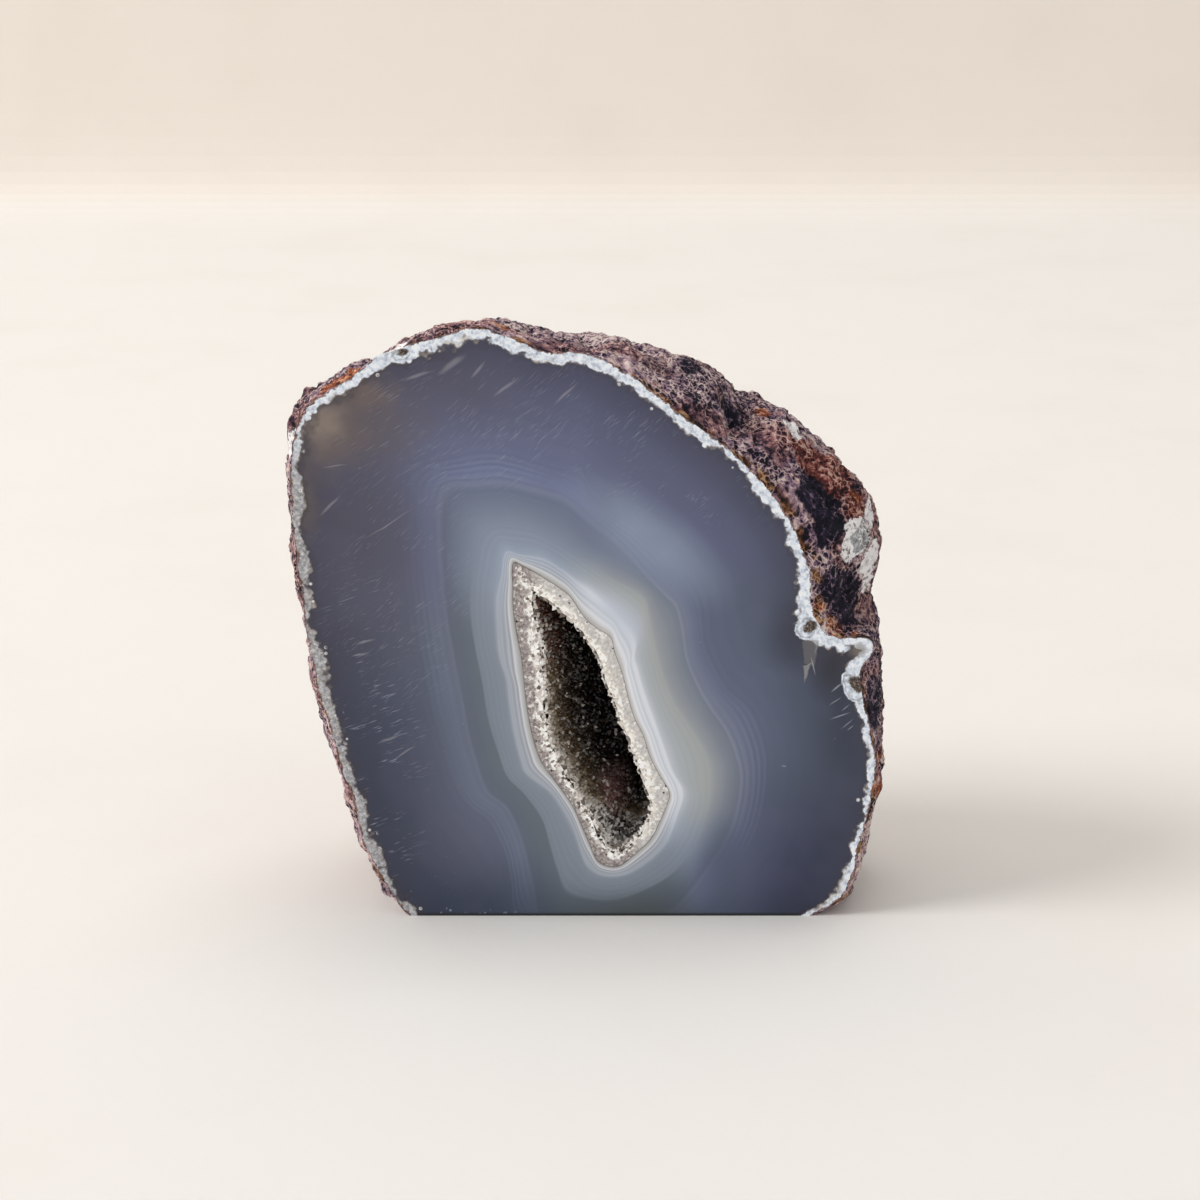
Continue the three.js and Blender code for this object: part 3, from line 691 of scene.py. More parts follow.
agateLook = {
    # colours as they look, by distance outwards: 0 is the hollow's mouth, 1 to 4 the named bands, 5 the outer edge
    "leftBands": [
        (0.00, (152, 149, 147)), (0.10, (171, 169, 167)), (0.22, (187, 186, 186)), (0.31, (203, 202, 205)),
        (0.35, (180, 181, 185)), (0.40, (148, 149, 156)), (0.45, (160, 162, 168)), (0.51, (176, 178, 184)),
        (0.56, (168, 170, 177)), (0.62, (152, 156, 163)), (0.69, (152, 156, 163)), (0.76, (164, 168, 175)),
        (0.84, (156, 161, 169)), (0.92, (162, 166, 174)), (1.00, (146, 151, 160)), (1.10, (131, 138, 148)), (1.50, (127, 134, 144)), (1.93, (124, 131, 140)), (2.02, (101, 109, 117)),
        (2.50, (98, 106, 115)), (2.90, (98, 105, 117)), (2.98, (108, 114, 130)), (3.07, (106, 112, 128)),
        (3.30, (107, 114, 130)), (3.70, (103, 110, 126)), (4.10, (94, 98, 114)), (4.50, (81, 83, 98)),
        (5.00, (66, 68, 82)),
    ],
    "topBands": [
        (0.00, (146, 143, 143)), (0.06, (168, 165, 163)), (0.20, (188, 187, 185)), (0.34, (200, 201, 202)),
        (0.40, (152, 157, 167)), (0.50, (182, 186, 194)), (0.58, (150, 156, 168)), (0.68, (178, 183, 192)),
        (0.76, (152, 159, 172)), (0.86, (172, 179, 190)), (0.96, (154, 162, 176)), (1.05, (146, 155, 170)),
        (1.30, (138, 147, 162)), (1.70, (132, 141, 157)), (2.00, (127, 136, 151)), (2.40, (116, 124, 141)),
        (2.85, (105, 112, 132)), (2.98, (116, 122, 143)), (3.08, (112, 118, 142)), (3.40, (111, 117, 145)),
        (3.80, (106, 111, 137)), (4.20, (99, 103, 127)), (4.60, (89, 92, 114)), (5.00, (77, 79, 96)),
    ],
    "rightBands": [
        (0.00, (180, 175, 171)), (0.10, (189, 186, 184)), (0.17, (208, 206, 207)), (0.29, (220, 220, 223)),
        (0.35, (208, 208, 212)), (0.40, (197, 199, 204)), (0.48, (214, 215, 218)), (0.53, (206, 208, 212)),
        (0.60, (190, 193, 199)), (0.68, (205, 207, 212)), (0.84, (212, 213, 217)), (0.92, (200, 202, 206)),
        (1.00, (182, 185, 190)),
        (1.20, (168, 172, 175)), (1.45, (164, 167, 168)), (1.75, (161, 163, 162)), (1.92, (158, 161, 160)),
        (2.04, (149, 151, 154)), (2.16, (143, 146, 151)), (2.50, (131, 136, 144)), (2.88, (119, 125, 136)),
        (2.96, (118, 124, 136)), (3.03, (128, 133, 149)), (3.10, (118, 124, 141)), (3.60, (104, 110, 131)),
        (4.00, (95, 102, 121)), (4.45, (87, 93, 110)), (5.00, (76, 80, 93)),
    ],
    # thin lines between the third and fourth bands: where, how dark (below 0) or light
    "fineLines": [
        (3.16, -0.5), (3.24, 0.35), (3.40, -0.6), (3.50, 0.4), (3.60, -0.7), (3.70, 0.45), (3.79, -0.6), (3.90, 0.35),
        (4.02, -0.5),
    ],
    "linedPlaces": [  # middle x, z; reach; slant in degrees; strength
        ((13, 66), (24, 8), 40, 0.7), ((-24.5, 44), (4.5, 20), 4, 0.2), ((-16, 8), (8, 16), 22, 0.5),
        ((24, 22), (7, 20), 6, 0.35), ((-16, 70), (14, 5), 4, 0.3),
    ],
    "shades": [  # middle x, z; reach; slant; colour; strength
        ((-34, 62), (20, 30), 15, (79, 76, 84), 0.75),
        ((-33, 20), (18, 34), -10, (62, 68, 83), 0.75),
        ((36, 6), (24, 30), 0, (52, 60, 76), 0.85),
        ((38, 38), (15, 26), 0, (66, 72, 86), 0.6),
        ((-18, 0), (26, 14), 0, (66, 73, 88), 0.8),
        ((10, -3), (30, 13), 0, (74, 80, 87), 0.75), ((5, 0), (13, 8), 0, (82, 87, 88), 0.9), ((8.5, 60), (18, 7), -38, (134, 145, 163), 0.9),
        ((20.5, 9), (6, 10), 0, (78, 87, 100), 0.6), ((31, 45), (7, 8), 0, (56, 58, 68), 0.7),
        ((-22, 84), (22, 10), -16, (84, 80, 88), 0.55),
        ((37, 41.0), (6.5, 8.5), 0, (42, 52, 61), 0.95),
        ((38, 30), (6, 12), 0, (56, 63, 75), 0.5),
    ],
    "roughness": 0.17,
    "feathers": [  # pale strokes near the rim: middle x, z; half length, half width; slant
        ((-19.7, 86.2), (3.0, 0.65), 36), ((-24.7, 84.6), (2.7, 0.4), 20), ((-16, 85.4), (2.0, 0.34), 50),
        ((-12, 82.8), (3.0, 0.36), 38), ((-37.8, 65.1), (2.6, 0.34), 45), ((-36.9, 71.2), (2.3, 0.16), 5),
        ((-29.4, 62.4), (5.5, 0.12), 33), ((-3.4, 81.8), (3.0, 0.28), 44),
        ((-33.2, 44.4), (1.9, 0.3), 14), ((-34, 42.2), (1.7, 0.22), 10), ((-30, 29), (2.4, 0.28), 24),
        ((-27.8, 26.8), (2.6, 0.2), 34),
    ],
}


def polishedAgate():
    material, tree, shader = newMaterial("polishedAgate")
    place = inMillimetres(tree)
    x, y, z = splitAxes(tree, place)
    rim = painted(tree, "rim")
    wander = sums(tree, "MULTIPLY_ADD", clouds(tree, place, 9, 2), 0.06, -0.03)
    band = sums(tree, "ADD", painted(tree, "band"), wander)
    left, top, right = [
        ramp(tree, sums(tree, "DIVIDE", band, 5.0), [(at / 5, asSeen(*shade)) for at, shade in agateLook[side]])
        for side in ("leftBands", "topBands", "rightBands")]
    colour = blendColour(tree, rescale(tree, z, 44, 58), left, top)
    # how far right of the slanting hollow's own line
    rightOf = sums(tree, "ADD", x, sums(tree, "MULTIPLY_ADD", z, 0.354, -11.2))
    colour = blendColour(tree, rescale(tree, rightOf, 2, 9), colour, top)
    paleSide = sums(tree, "MULTIPLY", rescale(tree, rightOf, 3, 8), rescale(tree, z, 60, 50))
    paleSide = sums(tree, "MULTIPLY", paleSide, rescale(tree, z, 9, 22))
    colour = blendColour(tree, paleSide, colour, right)
    colour = growthLines(tree, place, band, colour)
    colour = whiteHaze(tree, place, band, colour)
    colour = outerShades(tree, place, band, rim, colour)
    colour = featherStreaks(tree, place, colour, rim)
    colour = whiteRim(tree, place, colour, rim, x, z)
    colour = rimCurls(tree, place, colour)
    tree.links.new(colour, shader.inputs["Base Color"])
    tree.links.new(rescale(tree, rim, 2.0, 0.4, agateLook["roughness"], 0.32), shader.inputs["Roughness"])
    shader.inputs["IOR"].default_value = 1.54
    return material


def growthLines(tree, place, band, colour):
    lines = tree.nodes.new("ShaderNodeTexNoise")
    lines.noise_dimensions = "1D"
    lines.inputs["Scale"].default_value = 9.0
    lines.inputs["Detail"].default_value = 2.0
    tree.links.new(band, lines.inputs["W"])
    strength = ramp(tree, sums(tree, "DIVIDE", band, 5.0), [
        (0.20, grey(0)), (0.25, grey(0.22)), (0.38, grey(0.15)), (0.42, grey(0.04)), (0.57, grey(0.07)),
        (0.62, grey(0.13)), (0.82, grey(0.1)), (0.92, grey(0))])
    faint = sums(tree, "MULTIPLY", rescale(tree, lines.outputs["Fac"], 0.3, 0.7, -0.2, 0.2), strength)
    colour = blendColour(tree, sums(tree, "MAXIMUM", faint, 0.0), colour, asSeen(158, 166, 180))
    colour = blendColour(tree, sums(tree, "MAXIMUM", sums(tree, "MULTIPLY", faint, -1.0), 0.0), colour, asSeen(72, 80, 94))
    lined = None
    for middle, reach, slant, part in agateLook["linedPlaces"]:
        here = sums(tree, "MULTIPLY", spotMask(tree, place, middle, reach, slant, 0.8), part)
        lined = here if lined is None else sums(tree, "MAXIMUM", lined, here)
    for light, shade in ((False, asSeen(80, 90, 106)), (True, asSeen(130, 142, 160))):
        drawn = None
        for at, part in agateLook["fineLines"]:
            if (part > 0) == light:
                away = sums(tree, "ABSOLUTE", sums(tree, "SUBTRACT", band, at))
                here = rescale(tree, away, 0.06, 0.012, 0.0, abs(part))
                drawn = here if drawn is None else sums(tree, "MAXIMUM", drawn, here)
        colour = blendColour(tree, sums(tree, "MULTIPLY", drawn, lined), colour, shade)
    return colour


def whiteHaze(tree, place, band, colour):
    nearHollow = rescale(tree, band, 2.2, 0.8)
    for middle, reach, slant, strength in (
            ((4.4, 49), (8, 4.4), -42, 0.75), ((7, 45), (4, 5.5), -20, 0.3)):
        haze = sums(tree, "MULTIPLY", spotMask(tree, place, middle, reach, slant, 0.95), nearHollow)
        colour = blendColour(tree, sums(tree, "MULTIPLY", haze, strength), colour, asSeen(184, 189, 200))
    return colour


def outerShades(tree, place, band, rim, colour):
    outer = rescale(tree, band, 1.0, 2.8)
    for middle, reach, slant, shade, strength in agateLook["shades"]:
        mask = sums(tree, "MULTIPLY", spotMask(tree, place, middle, reach, slant, 0.95), outer)
        colour = blendColour(tree, sums(tree, "MULTIPLY", mask, strength), colour, asSeen(*shade))
    drift = sums(tree, "MULTIPLY", rescale(tree, clouds(tree, place, 14, 2), 0.35, 0.65, -0.14, 0.14), outer)
    colour = blendColour(tree, sums(tree, "MAXIMUM", drift, 0.0), colour, asSeen(98, 97, 118))
    uneven = shaken(tree, stretched(tree, place, scale=(1, 0, 1)), 3.5, 4.5)
    nearRim = sums(tree, "MULTIPLY", rescale(tree, rim, 8, 1.2), 0.4)
    colour = blendColour(tree, nearRim, colour, asSeen(64, 64, 76))
    for middle, reach, shade, strength in (
            ((-32, 77.5), (13, 9), (98, 89, 89), 0.65), ((-38, 76), (8, 9), (114, 101, 94), 0.6), ((-38.8, 77.8), (4.8, 4.2), (146, 132, 120), 0.55),
            ((-32.5, 82), (7, 4), (118, 103, 94), 0.55), ((-41.5, 66), (3.5, 9), (100, 90, 86), 0.6)):
        smoky = spotMask(tree, uneven, middle, reach, 0, 0.95)
        colour = blendColour(tree, sums(tree, "MULTIPLY", smoky, strength), colour, asSeen(*shade))
    x, y, z = splitAxes(tree, place)
    return blendColour(tree, rescale(tree, z, 1.0, 0.5, 0, 0.97), colour, srgb(12, 15, 17))  # painted shade: a dark line along the bottom edge stands in for the shadowed sawn edge and the shadow under it


def featherStreaks(tree, place, colour, rim):
    inside = rescale(tree, rim, 0.9, 2.2)
    for slant, zoneMiddle, zoneReach, size, strength in (
            (20, (-34, 26), (12, 38), (0.20, 2.2), 0.42),
            (42, (-28, 52), (16, 28), (0.12, 2.0), 0.26),
            (34, (-20, 76), (24, 16), (0.12, 2.2), 0.28),
            (46, (-2, 78), (28, 12), (0.13, 2.0), 0.30),
            (36, (14, 72), (26, 14), (0.12, 1.3), 0.28)):
        turned = stretched(tree, place, rotate=(0, slant, 0))
        drawn = stretched(tree, turned, scale=(1 / size[1], 0.2, 1 / size[0]))
        streak = clouds(tree, drawn, 1.0, 1.0, 0.5, 0.2)
        few = clouds(tree, stretched(tree, turned, scale=(1 / 5, 0.1, 1 / 4)), 1.0, 1.0)
        mask = sums(tree, "MULTIPLY", rescale(tree, streak, 0.62, 0.74), rescale(tree, few, 0.44, 0.56))
        mask = sums(tree, "MULTIPLY", mask, spotMask(tree, place, zoneMiddle, zoneReach, 0, 0.6))
        colour = blendColour(tree, sums(tree, "MULTIPLY", sums(tree, "MULTIPLY", mask, inside), strength),
                             colour, asSeen(160, 163, 178))
    for middle, reach, slant in agateLook["feathers"]:
        bent = sums(tree, "MULTIPLY_ADD", clouds(tree, place, 3.0, 1.0), 0.8, -0.4)
        moved = tree.nodes.new("ShaderNodeVectorMath")
        moved.operation = "ADD"
        tree.links.new(place, moved.inputs[0])
        joined = tree.nodes.new("ShaderNodeCombineXYZ")
        tree.links.new(bent, joined.inputs["Z"])
        tree.links.new(joined.outputs[0], moved.inputs[1])
        mask = spotMask(tree, moved.outputs[0], middle, reach, slant, 0.8)
        colour = blendColour(tree, sums(tree, "MULTIPLY", mask, 0.36), colour, asSeen(158, 154, 160))
    turned = stretched(tree, place, rotate=(0, 34, 0))
    scratch = stretched(tree, turned, scale=(1 / 1.5, 0.1, 1 / 0.16))
    marks = sums(tree, "MULTIPLY", rescale(tree, clouds(tree, scratch, 1.0, 1.0), 0.78, 0.83),
                 rescale(tree, clouds(tree, place, 6, 1.0), 0.55, 0.7))
    return blendColour(tree, sums(tree, "MULTIPLY", marks, 0.5), colour, srgb(205, 208, 214))


rimLook = {
    "lobe": 1.0,  # mm across one rounded lobe
    "reach": 0.62,  # mm that a lobe reaches from its middle
    "width": (0.15, 2.0),  # least mm, and how much more where the noise is highest
}


def shaken(tree, place, size, amount):  # the place moved a little to and fro, for natural edges
    node = tree.nodes.new("ShaderNodeTexNoise")
    feed(tree, node.inputs["Vector"], place)
    node.inputs["Scale"].default_value = 1 / size
    move = tree.nodes.new("ShaderNodeVectorMath")
    move.operation = "MULTIPLY_ADD"
    tree.links.new(node.outputs["Color"], move.inputs[0])
    move.inputs[1].default_value = (amount, 0, amount)
    move.inputs[2].default_value = (-amount / 2, 0, -amount / 2)
    total = tree.nodes.new("ShaderNodeVectorMath")
    tree.links.new(place, total.inputs[0])
    tree.links.new(move.outputs[0], total.inputs[1])
    return total.outputs[0]


def whiteRim(tree, place, colour, rim, x, z):
    flat = stretched(tree, place, scale=(1, 0, 1))
    leftSide = rescale(tree, x, -16, -30)
    leftLow = sums(tree, "MULTIPLY", leftSide, rescale(tree, z, 80, 66))
    bent = sums(tree, "ADD", rim, sums(tree, "MULTIPLY_ADD", clouds(tree, flat, 0.5, 2.0), 0.6, -0.3))
    lobes = sums(tree, "MULTIPLY", cells(tree, flat, rimLook["lobe"]), rimLook["lobe"])
    least, more = rimLook["width"]
    width = sums(tree, "MULTIPLY_ADD", rescale(tree, clouds(tree, flat, 4.5, 3.0), 0.3, 0.72, smooth=False), more, least)
    lowRight = sums(tree, "MULTIPLY", rescale(tree, x, 30, 36), rescale(tree, z, 36, 30))
    width = sums(tree, "MULTIPLY", width, rescale(tree, lowRight, 0, 1, 1.0, 0.7))
    for middle, reach, more in (((35, 48), (9, 15), 0.75), ((10, 84), (26, 12), 0.35), ((-26, 87), (18, 9), 0.55)):
        width = sums(tree, "MULTIPLY_ADD", spotMask(tree, place, middle, reach, 0, 0.5), more, width)
    slope = sums(tree, "MULTIPLY", sums(tree, "SUBTRACT", bent, width), -1.1)
    inside = sums(tree, "SUBTRACT", sums(tree, "ADD", slope, rimLook["reach"]), lobes)
    # a clear brownish fringe on the agate's side, and a darker line right at the lobes
    fringe = sums(tree, "MULTIPLY", rescale(tree, inside, -1.5, -0.1), sums(tree, "MULTIPLY_ADD", leftSide, 0.3, 0.3))
    colour = blendColour(tree, fringe, colour, asSeen(70, 66, 70))
    halo = rescale(tree, inside, -0.4, -0.02)
    haloShare = sums(tree, "MULTIPLY", halo, rescale(tree, clouds(tree, flat, 3.0, 2.0), 0.4, 0.65, 0.2, 0.9))
    colour = blendColour(tree, haloShare, colour, asSeen(148, 138, 130))
    mask = rescale(tree, inside, -0.05, 0.12)
    mottle = clouds(tree, flat, 0.9, 4.0, 0.65)
    white = ramp(tree, mottle, [
        (0.30, asSeen(146, 150, 160)), (0.42, asSeen(192, 196, 205)), (0.54, asSeen(224, 227, 232)),
        (0.70, asSeen(244, 244, 244))])
    cream = ramp(tree, mottle, [(0.32, asSeen(138, 126, 116)), (0.5, asSeen(188, 180, 170)), (0.68, asSeen(222, 218, 210))])
    creamPlaces = rescale(tree, clouds(tree, stretched(tree, flat, move=(31, 0, 7)), 8.0, 2.0), 0.52, 0.62, 0, 0.8)
    creamPlaces = sums(tree, "MULTIPLY", creamPlaces, rescale(tree, inside, 0.75, 0.25))
    white = blendColour(tree, creamPlaces, white, cream)
    mixed = ramp(tree, clouds(tree, flat, 0.6, 4.0, 0.75), [
        (0.32, asSeen(52, 44, 42)), (0.45, asSeen(112, 102, 98)), (0.56, asSeen(166, 160, 158)), (0.72, asSeen(220, 218, 216))])
    rimColour = blendColour(tree, sums(tree, "MULTIPLY", leftLow, 0.75), white, mixed)
    gaps = rescale(tree, inside, 0.3, 0.02)
    rimColour = blendColour(tree, sums(tree, "MULTIPLY", gaps, 0.4), rimColour, asSeen(128, 128, 136))
    ragged = sums(tree, "MULTIPLY_ADD", clouds(tree, flat, 1.3, 3.0, 0.7), 1.7, -0.8)
    outline = rescale(tree, sums(tree, "ADD", rim, ragged), 0.26, 0.08)
    outlineColour = ramp(tree, clouds(tree, flat, 0.5, 2.0), [(0.42, asSeen(40, 30, 30)), (0.58, asSeen(136, 92, 70))])
    rimColour = blendColour(tree, sums(tree, "MULTIPLY", outline, 0.9), rimColour, outlineColour)
    colour = blendColour(tree, mask, colour, rimColour)
    # small white bubbles with a brown middle on its inner side
    away = cells(tree, flat, 1.5)
    number = splitColour(tree, cells(tree, flat, 1.5, output="Color"))
    chosen = rescale(tree, number, sums(tree, "MULTIPLY_ADD", leftSide, -0.3, 0.84),
                     sums(tree, "MULTIPLY_ADD", leftSide, -0.3, 0.86))
    bubble = sums(tree, "MULTIPLY", rescale(tree, away, 0.22, 0.16), chosen)
    zone = sums(tree, "MULTIPLY", rescale(tree, rim, 0.7, 1.1), rescale(tree, rim, 2.7, 1.9))
    bubble = sums(tree, "MULTIPLY", bubble, zone)
    pupil = sums(tree, "MULTIPLY", rescale(tree, away, 0.12, 0.06), leftSide)
    bubbleColour = blendColour(tree, sums(tree, "MULTIPLY", pupil, 0.7), asSeen(214, 210, 205), asSeen(120, 100, 88))
    return blendColour(tree, sums(tree, "MULTIPLY", bubble, 0.85), colour, bubbleColour)


def cornersMask(tree, x, z, corners, soft):  # 1 inside a shape with straight sides, its corners given clockwise
    mask = None
    for (ax, az), (bx, bz) in zip(corners, corners[1:] + corners[:1]):
        length = math.hypot(bx - ax, bz - az)
        across, up = (bz - az) / length, (ax - bx) / length
        inwards = sums(tree, "MULTIPLY_ADD", x, across, sums(tree, "MULTIPLY_ADD", z, up, -across * ax - up * az))
        here = rescale(tree, sums(tree, "MULTIPLY", inwards, -1.0), 0.0, -soft)
        mask = here if mask is None else sums(tree, "MINIMUM", mask, here)
    return mask


rimDetails = {
    "clearWedge": [  # corners x, z; seen colour; strength
        ([(31.3, 45.2), (34.1, 44.6), (33.5, 40.3), (31.8, 40.9)], (112, 108, 108), 0.6),
        ([(33.4, 44.4), (34.1, 44.6), (33.6, 42.2), (33.3, 42.4)], (150, 148, 146), 0.4),
        ([(31.6, 40.7), (32.9, 40.9), (32.5, 39.3), (31.95, 37.4)], (146, 142, 138), 0.7),
    ],
    "whiskers": [  # middle x, z; half length, half width; slant
        ((36.8, 37.2), (1.4, 0.2), 42), ((36.6, 35.0), (1.4, 0.1), 35), ((38.2, 34.0), (1.0, 0.1), 42),
        ((37.4, 32.7), (2.0, 0.14), 20), ((38.5, 31.4), (1.5, 0.1), 42), ((39.0, 30.8), (0.8, 0.1), 42), ((30.9, 47.6), (1.3, 0.09), 34), ((33.2, 40.6), (0.13, 1.9), 14),
        ((32.6, 40.8), (0.8, 0.1), 30), ((29.2, 24.7), (0.5, 0.12), -12),
    ],
    # places where the white rim curls round brown crystals: middle; reach; slant; how far the crystals lie off the middle
    "curls": [
        ((32.1, 46.4), (2.0, 1.9), 10, (0.5, 0.3)), ((39.4, 37.2), (1.7, 3.0), 28, (0.3, 0.5)),
        ((-26.9, 87.6), (1.6, 1.1), 20, (0.1, 0.3)),
    ],
}


def rimCurls(tree, place, colour):
    flat = stretched(tree, place, scale=(1, 0, 1))
    x, y, z = splitAxes(tree, shaken(tree, flat, 1.2, 0.5))
    for corners, shade, strength in rimDetails["clearWedge"]:
        mask = cornersMask(tree, x, z, corners, 0.25)
        colour = blendColour(tree, sums(tree, "MULTIPLY", mask, strength), colour, asSeen(*shade))
    bent = shaken(tree, shaken(tree, flat, 1.5, 1.3), 0.5, 0.35)
    corner = spotMask(tree, bent, (39.9, 43.0), (2.1, 1.5), 20, 0.8)
    colour = blendColour(tree, sums(tree, "MULTIPLY", corner, 0.7), colour, asSeen(122, 112, 104))
    for middle, reach, slant, off in rimDetails["curls"]:
        heart = (middle[0] + off[0], middle[1] + off[1])
        ring = spotMask(tree, bent, middle, reach, slant, 0.1)
        core = spotMask(tree, bent, heart, (reach[0] * 0.62, reach[1] * 0.62), slant, 0.3)
        edge = sums(tree, "SUBTRACT", spotMask(tree, bent, middle, (reach[0] * 0.84, reach[1] * 0.84), slant, 0.1),
                    spotMask(tree, bent, middle, (reach[0] * 0.74, reach[1] * 0.74), slant, 0.1))
        white = ramp(tree, clouds(tree, flat, 0.7, 3.0), [(0.35, asSeen(160, 165, 174)), (0.6, asSeen(222, 226, 232))])
        colour = blendColour(tree, ring, colour, white)
        colour = blendColour(tree, sums(tree, "MULTIPLY", edge, 0.5), colour, asSeen(116, 112, 116))
        dark = ramp(tree, clouds(tree, flat, 0.45, 3.0, 0.75), [
            (0.44, asSeen(44, 36, 36)), (0.55, asSeen(104, 88, 80)), (0.68, asSeen(180, 168, 156))])
        colour = blendColour(tree, core, colour, dark)
    for middle, reach, slant in rimDetails["whiskers"]:
        mask = spotMask(tree, place, middle, reach, slant, 0.8)
        colour = blendColour(tree, sums(tree, "MULTIPLY", mask, 0.5), colour, asSeen(176, 180, 184))
    # pale chips along the sawn edge
    x, y, z = splitAxes(tree, place)
    crumb = shaken(tree, flat, 0.5, 0.5)
    few = rescale(tree, splitColour(tree, cells(tree, crumb, 0.75, output="Color")), 0.6, 0.66)
    size = rescale(tree, z, 0.9, 2.0, 0.46, 0.12, smooth=False)
    crumbs = rescale(tree, sums(tree, "SUBTRACT", size, cells(tree, crumb, 0.75)), 0.0, 0.16)
    zone = sums(tree, "MULTIPLY", rescale(tree, x, -28, -26), rescale(tree, x, -6, -20))
    zone = sums(tree, "MULTIPLY", zone, rescale(tree, z, 0.6, 0.85))
    mask = sums(tree, "MULTIPLY", sums(tree, "MULTIPLY", crumbs, few), zone)
    return blendColour(tree, sums(tree, "MULTIPLY", mask, 0.6), colour, asSeen(150, 156, 164))


def splitColour(tree, colour):
    node = tree.nodes.new("ShaderNodeSeparateColor")
    feed(tree, node.inputs[0], colour)
    return node.outputs[0]


rindLook = {
    "grain": 1.0,  # mm across the coarsest specks
    "ground": [
        (0.375, (8, 6, 22)), (0.42, (34, 25, 50)), (0.455, (100, 78, 104)), (0.49, (160, 130, 148)),
        (0.54, (212, 178, 180)), (0.61, (250, 232, 226)),
    ],
    "night": [(0.42, (6, 5, 20)), (0.51, (22, 17, 42)), (0.57, (70, 56, 82)), (0.65, (170, 142, 156))],
    "rust": [(0.38, (34, 18, 18)), (0.45, (112, 52, 38)), (0.51, (176, 94, 62)), (0.57, (214, 138, 96)), (0.64, (244, 206, 180))],
    "red": [(0.38, (26, 10, 20)), (0.45, (80, 34, 38)), (0.51, (140, 70, 64)), (0.57, (188, 120, 106)), (0.64, (238, 200, 186))],
    "plum": [(0.39, (14, 8, 20)), (0.45, (60, 34, 48)), (0.50, (124, 80, 88)), (0.56, (178, 126, 124)), (0.63, (236, 200, 190))],
    "seam": [(0.42, (26, 16, 14)), (0.48, (84, 50, 32)), (0.54, (138, 86, 54)), (0.63, (206, 164, 128))],
    "white": [(0.36, (96, 90, 90)), (0.43, (190, 184, 184)), (0.49, (246, 240, 240)), (0.56, (255, 252, 252))],
    "glassy": [(0.40, (26, 30, 32)), (0.50, (84, 90, 92)), (0.56, (156, 160, 162)), (0.63, (246, 246, 246))],
    "paintedGlow": 0.2,  # painted light: the white patches glow a little, so that they stay bright on the side away from the lamp
}


